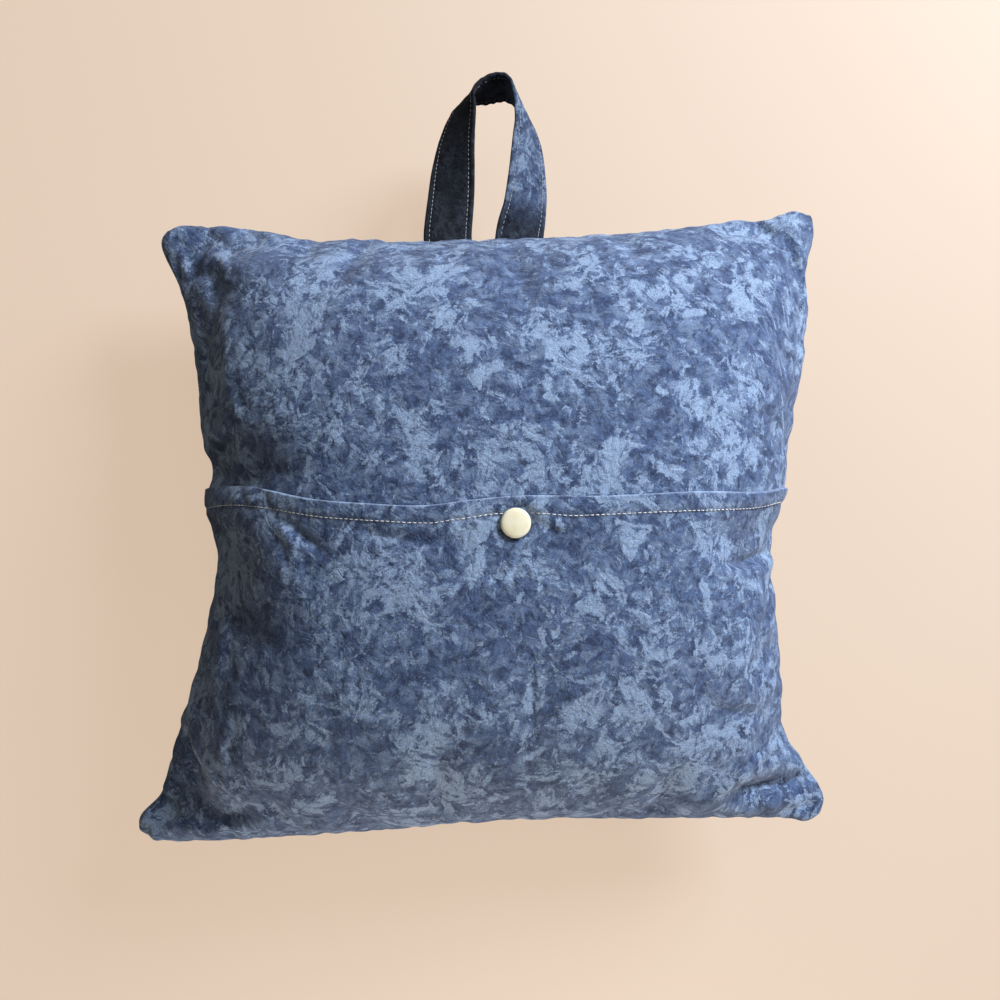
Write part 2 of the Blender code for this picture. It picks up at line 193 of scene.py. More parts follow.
# Simulation of the filled cover
SIM_FRAMES = 20
PRESSURE = 4.0
SPARE_CLOTH = 0.035
SIM_CAP = 5.0 * MM

# Seam between the two panels
SEAM_GROOVE = 1.3 * MM
SEAM_GROOVE_WIDTH = 1.5 * MM
SEAM_PUFF = 0.7 * MM
SEAM_PUFF_PLACE = 5.0 * MM
SEAM_PUFF_WIDTH = 3.5 * MM
PUCKER = 1.1 * MM
PUCKER_REACH = 11.0 * MM
PUCKERS_PER_METRE = 85.0
PUCKER_LEVELS = (0.03, 0.09)
FINE_PUCKER = 2.3

# Distances from the seam over which creases and lumps start
CREASE_START = 5.0 * MM
PUCKER_START = 3.0 * MM
LUMP_START = 12.0 * MM

# Heights under which the back is held in the simulation, and under which it stays flat
HELD_DOWN = 0.5 * MM
LIES_FLAT = 0.3 * MM

# Soft lumps of the filling and small crumples of the cloth
LUMP = 1.2 * MM
LUMPS_PER_METRE = 17.0
CRUMPLE = 0.34 * MM
CRUMPLES_PER_METRE = 75.0

# Pocket panel
CLOTH = 1.1 * MM
HEM_THICKNESS = 1.9 * MM
HEM_ROLL = 0.75 * MM
HEM_PUFF = 0.15 * MM
HEM_DEPTH = 9.0 * MM
STITCH_PINCH = 0.6 * MM
STITCH_PINCH_WIDTH = 1.0 * MM
ROOM_UNDER_POCKET = 0.5 * MM
POCKET_SIDE_TAPER = 6.0 * MM
HEM_STEP = 0.9 * MM
THIN_EDGE = 0.14
THIN_SIDE = 0.3
THIN_HEM_SIDE = 0.75
# Paler line along the hem's folded edge: partly rubbed wear, partly a painted highlight where light
# catches the fold
WEAR_AND_HIGHLIGHT = 0.55
WEAR_AND_HIGHLIGHT_WIDTH = 0.5 * MM

# Snap
SNAP_X = 17.6
SNAP_Y = -2.4
SNAP_RADIUS = 7.6
SNAP_DIMPLE = 1.0 * MM
SNAP_DIMPLE_RADIUS = 10.5 * MM
SNAP_RING = 1.2 * MM
SNAP_RING_PLACE = 8.2 * MM
SNAP_RING_WIDTH = 1.5 * MM
SNAP_SEATS = 24
SNAP_SEAT_RADIUS = 0.9 * SNAP_RADIUS
SNAP_LIFT = 0.45 * MM

# Carry loop: the strap's centre line, as x, height over the seam and turn of its width
SEAM_HEIGHT = 62.0
LEFT_FOOT = 169.9
RIGHT_FOOT = 171.0
STRAP_WIDTH = 29.5
STRAP_THICKNESS = 2.6
HANDLE_LINE = (
    (-22.0, 0.0, 0.0),
    (-22.0, 8.0, 2.0),
    (-20.4, 26.5, 10.0),
    (-19.2, 43.5, 21.0),
    (-17.2, 64.0, 37.0),
    (-14.3, 79.5, 50.0),
    (-11.6, 88.4, 62.0),
    (-6.4, 92.8, 77.0),
    (1.0, 95.6, 88.0),
    (7.8, 97.4, 90.0),
    (13.8, 97.2, 88.0),
    (18.8, 92.6, 82.0),
    (23.0, 84.0, 72.0),
    (26.1, 72.0, 61.0),
    (27.1, 58.0, 49.0),
    (26.8, 37.0, 36.0),
    (25.2, 20.0, 27.0),
    (22.6, 8.0, 10.0),
    (21.4, 0.0, 0.0),
)
STRAP_STATIONS = 300
STRAP_AROUND = 84
STRAP_ROW_INSET = 3.6
STRAP_TUCK = 3.0
STRAP_PINCH = 0.42
STRAP_MIDDLE = 0.16
STRAP_EDGE = 1.6
STRAP_SQUARENESS = 0.62

# Bows of the strap's cloth: how far out, where along it as a share, and over what share
STRAP_GATHERS = (0.32, 0.5, 0.10)
RIGHT_SHOULDER = (1.1, 0.68, 0.09)
LEFT_SHOULDER = (0.6, 0.30, 0.12)
STRAP_FADE = 0.05

# Topstitching
STITCH_PITCH = 2.7
STITCH_LENGTH = 2.15
STITCH_RADIUS = 0.22
STITCH_RISE = 0.12
STITCH_DIVE = 0.42
SEAT_STEP = 0.4
ROW_START = 2.0
HEM_ROW_END = 172.0
HEM_ROW_STEP = 0.3
SNAP_CLEARANCE = 0.6

# Camera at the photograph's place over the face
CAMERA_PLACE = (0.0099, -0.01055, 0.51138)
CAMERA_TILT = 3.0
CAMERA_LENS = 27.0
CAMERA_SENSOR = 36.0


def run_through(rows, place, column=1):
    """Value of a column of a table at a place in its first column, on a smooth line."""
    last = len(rows) - 1
    index = 0
    while index < last - 1 and place > rows[index + 1][0]:
        index += 1
    before = rows[max(index - 1, 0)]
    start = rows[index]
    end = rows[index + 1]
    after = rows[min(index + 2, last)]
    length = end[0] - start[0]
    share = (place - start[0]) / length
    start_slope = (end[column] - before[column]) / (end[0] - before[0])
    end_slope = (after[column] - start[column]) / (after[0] - start[0])
    square = share * share
    cube = square * share
    value = (2 * cube - 3 * square + 1) * start[column]
    value += (cube - 2 * square + share) * length * start_slope
    value += (3 * square - 2 * cube) * end[column]
    value += (cube - square) * length * end_slope
    return value


def rise(value, low, high):
    """Smooth step from 0 at low to 1 at high, for numbers and arrays."""
    share = np.clip((value - low) / (high - low), 0.0, 1.0)
    return share * share * (3.0 - 2.0 * share)


def take_up(piece):
    """Make a piece the only selected and active one."""
    bpy.ops.object.select_all(action="DESELECT")
    piece.select_set(True)
    bpy.context.view_layer.objects.active = piece


def new_piece(name, mesh):
    """Object for a mesh, linked to the scene and taken up."""
    piece = bpy.data.objects.new(name, mesh)
    bpy.context.scene.collection.objects.link(piece)
    take_up(piece)
    return piece


def apply_modifier(piece, name):
    take_up(piece)
    bpy.ops.object.modifier_apply(modifier=name)


def subdivide_smoothly(piece, levels):
    """Round a piece with a Subdivision Surface and apply it."""
    smooth = piece.modifiers.new("rounding", "SUBSURF")
    smooth.levels = levels
    smooth.render_levels = levels
    apply_modifier(piece, smooth.name)


def read_places(mesh):
    places = np.empty(len(mesh.vertices) * 3)
    mesh.vertices.foreach_get("co", places)
    return places.reshape(-1, 3)


def write_places(mesh, places):
    mesh.vertices.foreach_set("co", places.ravel())
    mesh.update()


def read_normals(mesh):
    normals = np.empty(len(mesh.vertices) * 3)
    mesh.vertex_normals.foreach_get("vector", normals)
    return normals.reshape(-1, 3)


def nearest_tree(places):
    """Tree that finds the nearest of some places."""
    tree = KDTree(len(places))
    for index, place in enumerate(places):
        tree.insert(place, index)
    tree.balance()
    return tree


def group_weights(piece, name):
    """Weight of every vertex in a vertex group."""
    index = piece.vertex_groups[name].index
    weights = np.zeros(len(piece.data.vertices))
    for vert in piece.data.vertices:
        for member in vert.groups:
            if member.group == index:
                weights[vert.index] = member.weight
    return weights


def set_weights(piece, name, weights):
    group = piece.vertex_groups.get(name) or piece.vertex_groups.new(name=name)
    for index, weight in enumerate(weights):
        group.add([index], float(weight), "REPLACE")


# Cover of the cushion

def lay_out_cover():
    """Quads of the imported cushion, with the outline seam and the pocket's part marked."""
    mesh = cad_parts["cushion"].data.copy()
    mesh.materials.clear()
    cover = new_piece("cushion_cover", mesh)
    bpy.ops.object.mode_set(mode="EDIT")
    bpy.ops.mesh.select_all(action="SELECT")
    bpy.ops.mesh.remove_doubles(threshold=WELD)
    bpy.ops.mesh.customdata_custom_splitnormals_clear()
    bpy.ops.mesh.tris_convert_to_quads(face_threshold=math.pi, shape_threshold=math.pi)
    bpy.ops.object.mode_set(mode="OBJECT")
    mesh.uv_layers.new(name="cloth")
    form = bmesh.new()
    form.from_mesh(mesh)
    crease = form.edges.layers.float.new("crease_edge")
    on_ring = set()
    for edge in form.edges:
        first, second = edge.link_faces
        if first.normal.z * second.normal.z < 0.0 and edge.verts[0].co.z > 0.5 * SEAM_HEIGHT * MM:
            edge[crease] = 1.0
            edge.seam = True
            on_ring.update(vert.index for vert in edge.verts)
    for face in form.faces:
        middle = face.calc_center_median() / MM
        part = UNDER_POCKET if middle.y < run_through(HEM_EDGE, middle.x) else ABOVE_POCKET
        face.material_index = part if face.normal.z > 0.0 else BACK
        face.smooth = True
    form.to_mesh(mesh)
    form.free()
    ring = [1.0 if vert.index in on_ring else 0.0 for vert in mesh.vertices]
    base = [1.0 if vert.co.z < HELD_DOWN else 0.0 for vert in mesh.vertices]
    set_weights(cover, "ring", ring)
    set_weights(cover, "held", np.maximum(ring, base))
    return cover


def settle_cover(cover):
    """Blow the cover up inside its seam with a little spare cloth, so that it wrinkles."""
    before = read_places(cover.data)
    cloth = cover.modifiers.new("filling", "CLOTH")
    settings = cloth.settings
    settings.quality = 6
    settings.mass = 0.15
    settings.tension_stiffness = 20.0
    settings.compression_stiffness = 20.0
    settings.shear_stiffness = 8.0
    settings.bending_stiffness = 0.15
    settings.vertex_group_mass = "held"
    settings.use_pressure = True
    settings.uniform_pressure_force = PRESSURE
    settings.shrink_min = -SPARE_CLOTH
    settings.effector_weights.gravity = 0.0
    cloth.collision_settings.use_collision = False
    for step in range(1, SIM_FRAMES + 1):
        bpy.context.scene.frame_set(step)
    apply_modifier(cover, cloth.name)
    bpy.context.scene.frame_set(1)
    after = read_places(cover.data)
    moved = after - before
    length = np.linalg.norm(moved, axis=1)
    softened = SIM_CAP * np.tanh(length / SIM_CAP) / np.maximum(length, 1e-9)
    after = before + moved * softened[:, None]
    after[:, 2] = np.maximum(after[:, 2], 0.0)
    write_places(cover.data, after)


def thread_lengths(tree, sign):
    """Lengths along the cloth from its middle, in x and in y, on an even grid over the cushion."""
    ticks = np.arange(-GRID_REACH, GRID_REACH + 1) * GRID_STEP
    heights = np.full((len(ticks), len(ticks)), SEAM_HEIGHT * MM)
    for row, y in enumerate(ticks):
        for column, x in enumerate(ticks):
            place = tree.ray_cast(Vector((x, y, sign * HIGH)), Vector((0.0, 0.0, -sign)))[0]
            if place is not None:
                heights[row, column] = place.z
    lengths = []
    for axis in (1, 0):
        steps = np.hypot(GRID_STEP, np.diff(heights, axis=axis))
        run = np.insert(np.cumsum(steps, axis=axis), 0, 0.0, axis=axis)
        lengths.append(run - np.take(run, [GRID_REACH], axis=axis))
    return lengths


def read_grid(values, x, y):
    """Values of the grid at places between its points."""
    column = np.clip(x / GRID_STEP + GRID_REACH, 0, 2 * GRID_REACH - 1.001)
    row = np.clip(y / GRID_STEP + GRID_REACH, 0, 2 * GRID_REACH - 1.001)
    left = column.astype(int)
    low = row.astype(int)
    right = column - left
    high = row - low
    below = values[low, left] * (1.0 - right) + values[low, left + 1] * right
    above = values[low + 1, left] * (1.0 - right) + values[low + 1, left + 1] * right
    return below * (1.0 - high) + above * high


def lay_out_weave(cover):
    """Give both panels cloth coordinates in metres that follow the threads of the weave."""
    mesh = cover.data
    tree = surface_of(cover)
    real = read_places(mesh)
    corners = np.empty(len(mesh.loops), np.int32)
    mesh.loops.foreach_get("vertex_index", corners)
    flat = np.empty((len(corners), 2))
    for sign, shift in ((1.0, 0.0), (-1.0, 1.0)):
        faces = [face for face in mesh.polygons if (face.material_index != BACK) == (sign > 0.0)]
        panel = np.array([index for face in faces for index in face.loop_indices])
        places = real[corners[panel]]
        across, upwards = thread_lengths(tree, sign)
        flat[panel, 0] = sign * read_grid(across, places[:, 0], places[:, 1]) + shift
        flat[panel, 1] = read_grid(upwards, places[:, 0], places[:, 1])
    mesh.uv_layers["cloth"].uv.foreach_set("vector", flat.ravel())


def refine_front(cover):
    """Cut the facets of the pocket side once more, where the fine creases go."""
    take_up(cover)
    bpy.ops.object.mode_set(mode="EDIT")
    bpy.ops.mesh.select_all(action="DESELECT")
    bpy.ops.object.mode_set(mode="OBJECT")
    mesh = cover.data
    front = [face.normal.z > 0.0 for face in mesh.polygons]
    mesh.polygons.foreach_set("select", front)
    chosen = set()
    for face in mesh.polygons:
        if face.normal.z > 0.0:
            chosen.update(face.edge_keys)
    for edge in mesh.edges:
        edge.select = edge.key in chosen
    bpy.ops.object.mode_set(mode="EDIT")
    bpy.ops.mesh.select_mode(type="FACE")
    bpy.ops.mesh.subdivide(number_cuts=1, smoothness=1.0)
    bpy.ops.object.mode_set(mode="OBJECT")


def crease_relief(places, creases):
    """Depth that the creases press into the face at each place."""
    plan = places[:, :2] / MM
    depth = np.zeros(len(plan))
    for deep, half, ridge, points in creases:
        line = np.array(points, float)
        low = line.min(axis=0) - CREASE_REACH * half
        high = line.max(axis=0) + CREASE_REACH * half
        near = np.flatnonzero(np.all((plan > low) & (plan < high), axis=1))
        if len(near) == 0:
            continue
        spans = np.linalg.norm(np.diff(line, axis=0), axis=1)
        along = np.concatenate(([0.0], np.cumsum(spans)))
        best = np.full(len(near), np.inf)
        side = np.zeros(len(near))
        place = np.zeros(len(near))
        for index, span in enumerate(spans):
            start = line[index]
            run = (line[index + 1] - start) / span
            offset = plan[near] - start
            share = np.clip(offset @ run, 0.0, span)
            gap = offset - share[:, None] * run
            distance = np.linalg.norm(gap, axis=1)
            closer = distance < best
            best = np.where(closer, distance, best)
            cross = run[0] * offset[:, 1] - run[1] * offset[:, 0]
            side = np.where(closer, np.sign(cross), side)
            place = np.where(closer, along[index] + share, place)
        taper = np.sin(math.pi * np.clip(place / along[-1], 0.04, 0.96)) ** 0.6
        wander = np.array([noise.noise(Vector((x, y, 7.0)) * WANDER_PER_MM) for x, y in plan[near]])
        distance = best + CREASE_WANDER * wander
        trough = deep * np.exp(-((distance / half) ** 2) ** 0.8)
        beside = side * np.sign(ridge) * distance - BANK_PLACE * half
        bank = abs(ridge) * np.exp(-((beside / (BANK_WIDTH * half)) ** 2))
        depth[near] += taper * (trough - bank)
    return depth * MM


def short_wrinkles(count, seed):
    """Small wrinkles that start at the side seams and run inwards or along them."""
    chance = random.Random(seed)
    made = []
    for _ in range(count):
        side = chance.choice((-1.0, 1.0))
        x = side * chance.uniform(128.0, 172.0)
        y = chance.uniform(-150.0, 160.0)
        length = chance.uniform(9.0, 26.0)
        lean = math.radians(chance.uniform(55.0, 125.0))
        dx = 0.5 * length * math.cos(lean)
        dy = 0.5 * length * math.sin(lean)
        deep = chance.uniform(0.25, 0.7)
        half = chance.uniform(1.6, 2.8)
        bend = chance.uniform(-2.5, 2.5)
        made.append((deep, half, 0.6 * deep, ((x - dx, y - dy), (x + bend, y), (x + dx, y + dy))))
    return made


def ease_outline(places):
    """Draw the sides of the cushion out or in to the photograph's outline."""
    x = places[:, 0] / MM
    y = places[:, 1] / MM
    pull_x = np.zeros(len(places))
    pull_y = np.zeros(len(places))
    for side, place, along in (("left", -x, y), ("right", x, y), ("bottom", -y, x), ("top", y, x)):
        rows = OUTLINE_PULL[side]
        pull = np.interp(along, [row[0] for row in rows], [row[1] for row in rows])
        pull *= rise(place, PULL_START, PULL_FULL)
        if side in ("left", "right"):
            pull_x += pull
        else:
            pull_y += pull
    return places + np.stack((pull_x, pull_y, np.zeros(len(places))), axis=1) * MM


def shape_cover(cover, creases):
    """Press creases, seam, puckers and lumps into the cover."""
    mesh = cover.data
    places = read_places(mesh)
    normals = read_normals(mesh)
    ring = nearest_tree(places[group_weights(cover, "ring") > NEARLY_ONE])
    reach = np.empty(len(places))
    pucker = np.zeros(len(places))
    lump = np.empty(len(places))
    for index, place in enumerate(places):
        nearest = ring.find_n(place, 3)
        reach[index] = nearest[0][2]
        spot = Vector(place)
        lump[index] = noise.noise(spot * LUMPS_PER_METRE) * LUMP
        lump[index] += noise.noise(spot * CRUMPLES_PER_METRE) * CRUMPLE
        if reach[index] < 4.0 * PUCKER_REACH:
            seat = (nearest[0][0] + nearest[1][0] + nearest[2][0]) / 3.0
            lifted = Vector((seat.x, seat.y, PUCKER_LEVELS[0 if place[2] > seat.z else 1]))
            wave = noise.noise(lifted * PUCKERS_PER_METRE)
            wave += 0.5 * noise.noise(lifted * FINE_PUCKER * PUCKERS_PER_METRE)
            pucker[index] = wave
    front = places[:, 2] > SEAM_HEIGHT * MM
    depth = np.where(front, crease_relief(places, creases), 0.0)
    depth *= rise(reach, 0.0, CREASE_START)
    depth += SEAM_GROOVE * np.exp(-((reach / SEAM_GROOVE_WIDTH) ** 2))
    depth -= SEAM_PUFF * np.exp(-(((reach - SEAM_PUFF_PLACE) / SEAM_PUFF_WIDTH) ** 2))
    depth -= PUCKER * pucker * rise(reach, 0.0, PUCKER_START) * np.exp(-reach / PUCKER_REACH)
    depth -= lump * rise(reach, 0.0, LUMP_START)
    off_snap = np.hypot(places[:, 0] - SNAP_X * MM, places[:, 1] - SNAP_Y * MM)
    pressed = SNAP_DIMPLE * np.exp(-((off_snap / SNAP_DIMPLE_RADIUS) ** 2))
    pressed += SNAP_RING * np.exp(-(((off_snap - SNAP_RING_PLACE) / SNAP_RING_WIDTH) ** 2))
    depth += np.where(front, pressed, 0.0)
    depth[places[:, 2] < LIES_FLAT] = 0.0
    places = ease_outline(places - normals * depth[:, None])
    places[:, 2] = np.maximum(places[:, 2], 0.0)
    write_places(mesh, places)


# Pocket panel

def cut_pocket(cover):
    """Copy of the cover's lower part, which becomes the pocket panel."""
    mesh = cover.data.copy()
    mesh.name = "pocket_panel_cloth"
    pocket = new_piece("pocket_cloth", mesh)
    for group in cover.vertex_groups:
        pocket.vertex_groups.new(name=group.name)
    form = bmesh.new()
    form.from_mesh(mesh)
    spare = [face for face in form.faces if face.material_index != UNDER_POCKET]
    bmesh.ops.delete(form, geom=spare, context="FACES")
    for face in form.faces:
        face.material_index = 0
    weights = form.verts.layers.deform.verify()
    ring = cover.vertex_groups["ring"].index

    def at_seam(vert):
        return vert[weights].get(ring, 0.0) > NEARLY_ONE

    edge_verts = set()
    for edge in form.edges:
        if edge.is_boundary and not (at_seam(edge.verts[0]) and at_seam(edge.verts[1])):
            edge_verts.update(edge.verts)
    cross = [edge for edge in form.edges if len(edge_verts.intersection(edge.verts)) == 1]
    places = [vert.co.copy() for vert in edge_verts]
    bmesh.ops.subdivide_edges(form, edges=cross, cuts=2, use_grid_fill=True)
    form.to_mesh(mesh)
    form.free()
    return pocket, places


def thicken_pocket(pocket, edge_places):
    """Give the panel its thickness: a folded hem, the stitched line and a single cloth."""
    mesh = pocket.data
    places = read_places(mesh)
    edge = nearest_tree(edge_places)
    ring = nearest_tree(places[group_weights(pocket, "ring") > NEARLY_ONE])
    below = np.array([edge.find(place)[2] for place in places])
    reach = np.array([ring.find(place)[2] for place in places])
    plan = places[:, :2] / MM
    over = np.array([y - run_through(STITCH_LINE, x) for x, y in plan]) * MM
    roll = np.sqrt(np.clip(1.0 - (1.0 - np.clip(below / HEM_ROLL, 0.0, 1.0)) ** 2, 0.0, 1.0))
    in_hem = rise(over, -HEM_STEP, HEM_STEP)
    thickness = CLOTH + (HEM_THICKNESS - CLOTH) * in_hem
    puff = np.sin(math.pi * np.clip(over / HEM_DEPTH, 0.0, 1.0))
    thickness = thickness + HEM_PUFF * puff
    thickness = thickness - STITCH_PINCH * np.exp(-((over / STITCH_PINCH_WIDTH) ** 2))
    thickness = thickness * (THIN_EDGE + (1.0 - THIN_EDGE) * np.where(in_hem > 0.5, roll, 1.0))
    side = THIN_SIDE + (1.0 - THIN_SIDE) * rise(reach, 0.0, POCKET_SIDE_TAPER)
    side = np.maximum(side, THIN_HEM_SIDE * in_hem)
    thickness = thickness * side
    most = thickness.max()
    set_weights(pocket, "thickness", thickness / most)
    # Mask of the paler fold line on the hem: rubbed wear and a painted highlight of the fold
    fold = mesh.attributes.new("wear_and_highlight", "FLOAT", "POINT")
    worn_and_lit = WEAR_AND_HIGHLIGHT * np.exp(-((below / WEAR_AND_HIGHLIGHT_WIDTH) ** 2)) * in_hem
    fold.data.foreach_set("value", worn_and_lit.astype(np.float32))
    shell = pocket.modifiers.new("cloth", "SOLIDIFY")
    shell.thickness = most
    shell.offset = 1.0
    shell.vertex_group = "thickness"
    shell.use_even_offset = False
    apply_modifier(pocket, shell.name)
    pocket.data.shade_smooth()


def sink_cover(cover):
    """Lower the cushion's own cloth a little where the pocket lies on it."""
    mesh = cover.data
    places = read_places(mesh)
    normals = read_normals(mesh)
    under = np.zeros(len(places), bool)
    beside = np.zeros(len(places), bool)
    for face in mesh.polygons:
        corners = list(face.vertices)
        if face.material_index == UNDER_POCKET:
            under[corners] = True
        else:
            beside[corners] = True
    sunk = under & ~beside
    places[sunk] -= normals[sunk] * ROOM_UNDER_POCKET
    write_places(mesh, places)
    mesh.polygons.foreach_set("material_index", np.zeros(len(mesh.polygons), np.int32))


# Carry loop

def strap_frame(place):
    """Centre, direction, width direction and outer direction of the strap, from 0 to 1."""
    stations = [(float(index),) + row for index, row in enumerate(HANDLE_LINE)]
    last = len(HANDLE_LINE) - 1
    at = place * last

    def centre(where):
        foot = LEFT_FOOT + (RIGHT_FOOT - LEFT_FOOT) * where / last
        x = run_through(stations, where, 1)
        y = run_through(stations, where, 2)
        return Vector((x, foot + y, SEAM_HEIGHT))

    step = 0.02
    before = centre(max(0.0, at - step))
    after = centre(min(last, at + step))
    direction = (after - before).normalized()
    turn = math.radians(min(90.0, max(0.0, run_through(stations, at, 3))))
    flat = direction.cross(Vector((0.0, 0.0, 1.0)))
    width = flat * math.cos(turn) + Vector((0.0, 0.0, 1.0)) * math.sin(turn)
    outer = width.cross(direction).normalized()
    return centre(at), direction, width.normalized(), outer


def strap_places():
    """Share of the centre line at even steps of its length, and that length."""
    samples = 1200
    points = [strap_frame(index / samples)[0] for index in range(samples + 1)]
    lengths = [0.0]
    for start, end in zip(points, points[1:]):
        lengths.append(lengths[-1] + (end - start).length)
    total = lengths[-1]
    shares = np.interp(np.linspace(0.0, total, STRAP_STATIONS + 1), lengths,
                       np.linspace(0.0, 1.0, samples + 1))
    return shares, total


def strap_half_thickness(across):
    """Half thickness of the strap at a place across it, pinched at its stitches."""
    half = 0.5 * STRAP_WIDTH
    row = half - STRAP_ROW_INSET
    pinch = STRAP_PINCH * math.exp(-((abs(across) - row) ** 2))
    middle = STRAP_MIDDLE * math.cos(math.pi * across / (2.0 * row)) if abs(across) < row else 0.0
    return 0.5 * STRAP_THICKNESS - pinch + middle


def strap_lift(across, along, total):
    """How far the strap's cloth bows and wrinkles out of its plain path."""
    share = along / total
    half = 0.5 * STRAP_WIDTH
    lift = 0.5 * noise.noise(Vector((across * 0.06, along * 0.045, 3.0)))
    lift += 0.22 * noise.noise(Vector((across * 0.15, along * 0.16, 9.0)))
    gathers = math.sin(along * 1.25 + 0.8 * noise.noise(Vector((along * 0.2, 1.0, 1.0))))
    gathers *= 0.4 + 0.3 * (1.0 - across / half)
    bow = 1.0 - (across / half) ** 2
    shapes = ((STRAP_GATHERS, gathers), (RIGHT_SHOULDER, bow), (LEFT_SHOULDER, bow))
    for (far, middle, spread), shape in shapes:
        lift += far * math.exp(-(((share - middle) / spread) ** 2)) * shape
    fade = min(1.0, share / STRAP_FADE, (1.0 - share) / STRAP_FADE)
    return lift * fade


def strap_point(station, along, total, across, height):
    """Point at a height over the strap's middle layer, at one frame of its centre line."""
    centre, _, width, outer = station
    return centre + width * across + outer * (strap_lift(across, along, total) + height)


def strap_section(step):
    """Place across and height of a point of the strap's rounded section."""
    half = 0.5 * STRAP_WIDTH
    angle = 2.0 * math.pi * step / STRAP_AROUND
    flat = math.cos(angle)
    across = half * math.copysign(abs(flat) ** STRAP_SQUARENESS, flat)
    over = max(0.0, abs(across) - (half - STRAP_EDGE))
    edge = max(0.0, 1.0 - (over / STRAP_EDGE) ** 2)
    height = strap_half_thickness(across) * math.sqrt(edge)
    return across, math.copysign(height, math.sin(angle))


def build_strap():
    """Carry loop as a strap with rolled edges, made from a grid bent round its section."""
    bpy.ops.object.select_all(action="DESELECT")
    bpy.ops.mesh.primitive_grid_add(
        x_subdivisions=STRAP_STATIONS, y_subdivisions=STRAP_AROUND, size=2.0, calc_uvs=True
    )
    strap = bpy.context.object
    strap.name = "carry_loop"
    mesh = strap.data
    mesh.name = "carry_loop"
    mesh.uv_layers[0].name = "cloth"
    shares, total = strap_places()
    section = [strap_section(step) for step in range(STRAP_AROUND + 1)]
    girth = [0.0]
    for start, end in zip(section, section[1:]):
        girth.append(girth[-1] + math.hypot(end[0] - start[0], end[1] - start[1]))
    frames = [strap_frame(share) for share in shares]
    for vert in mesh.vertices:
        station = round(0.5 * (vert.co.x + 1.0) * STRAP_STATIONS)
        step = round(0.5 * (vert.co.y + 1.0) * STRAP_AROUND)
        along = total * station / STRAP_STATIONS
        tuck = {0: -STRAP_TUCK, STRAP_STATIONS: STRAP_TUCK}.get(station, 0.0)
        place = strap_point(frames[station], along, total, *section[step])
        vert.co = (place + frames[station][1] * tuck) * MM
    layer = mesh.uv_layers["cloth"]
    for corner in layer.uv:
        u, v = corner.vector
        along = u * total * MM
        around = girth[min(STRAP_AROUND, round(v * STRAP_AROUND))] * MM
        corner.vector = (along, around)
    form = bmesh.new()
    form.from_mesh(mesh)
    bmesh.ops.remove_doubles(form, verts=form.verts[:], dist=WELD)
    ends = [edge for edge in form.edges if edge.is_boundary]
    bmesh.ops.holes_fill(form, edges=ends, sides=0)
    bmesh.ops.recalc_face_normals(form, faces=form.faces[:])
    for face in form.faces:
        face.smooth = True
    form.to_mesh(mesh)
    form.free()
    return strap, shares, total


# Topstitching

def model_stitch():
    """One stitch lying along X: a short thread whose two ends dive into the cloth."""
    bpy.ops.object.select_all(action="DESELECT")
    bpy.ops.mesh.primitive_uv_sphere_add(segments=8, ring_count=8, radius=1.0)
    stitch = bpy.context.object
    stitch.name = "stitch"
    take_up(stitch)
    bpy.ops.object.mode_set(mode="EDIT")
    bpy.ops.mesh.select_all(action="SELECT")
    bpy.ops.transform.rotate(value=math.radians(90.0), orient_axis="Y", center_override=(0, 0, 0))
    bpy.ops.object.mode_set(mode="OBJECT")
    half = 0.5 * STITCH_LENGTH
    for vert in stitch.data.vertices:
        share = vert.co.x
        body = 0.0
        if abs(share) < NEARLY_ONE:
            body = math.sqrt((1.0 - share ** 6) / (1.0 - share * share))
        x = half * share
        y = vert.co.y * body * STITCH_RADIUS
        z = vert.co.z * body * STITCH_RADIUS
        z += STITCH_RISE - STITCH_DIVE * share ** 4
        vert.co = Vector((x, y, z)) * MM
    return stitch


def sew(name, seats, stitch):
    """Copies of the stitch at each seat: place, direction of sewing and way out of the cloth."""
    copies = []
    for place, direction, outwards in seats:
        side = outwards.cross(direction).normalized()
        out = direction.cross(side).normalized()
        turn = Matrix((direction.normalized(), side, out)).transposed().to_4x4()
        mesh = stitch.data.copy()
        mesh.transform(Matrix.Translation(place) @ turn)
        copy = bpy.data.objects.new(name, mesh)
        bpy.context.scene.collection.objects.link(copy)
        copies.append(copy)
    bpy.ops.object.select_all(action="DESELECT")
    for copy in copies:
        copy.select_set(True)
    bpy.context.view_layer.objects.active = copies[0]
    bpy.ops.object.join()
    row = bpy.context.object
    row.name = name
    row.data.name = name
    row.data.shade_smooth()
    return row


def surface_of(piece):
    """Tree of a piece's final faces, for finding what lies under a place."""
    mesh = piece.data
    return BVHTree.FromPolygons([vert.co for vert in mesh.vertices],
                                [tuple(face.vertices) for face in mesh.polygons])


def hem_seats(pocket):
    """Seats of the hem's stitches, an even pitch apart on the cloth."""
    surface = surface_of(pocket)
    down = Vector((0.0, 0.0, -1.0))

    def on_cloth(x):
        start = Vector((x * MM, run_through(STITCH_LINE, x) * MM, HIGH))
        return surface.ray_cast(start, down)

    line = []
    x = -HEM_ROW_END
    while x < HEM_ROW_END:
        place, normal, _, _ = on_cloth(x)
        if place is not None:
            line.append((place, normal))
        x += HEM_ROW_STEP
    seats = []
    gone = 0.0
    for index in range(1, len(line) - 4):
        gone += (line[index][0] - line[index - 1][0]).length
        if gone >= STITCH_PITCH * MM:
            gone -= STITCH_PITCH * MM
            place, normal = line[index]
            direction = (line[index + 4][0] - line[index - 1][0]).normalized()
            off = math.hypot(place.x / MM - SNAP_X, place.y / MM - SNAP_Y)
            if off > SNAP_RADIUS + SNAP_CLEARANCE:
                seats.append((place, direction, normal))
    return seats


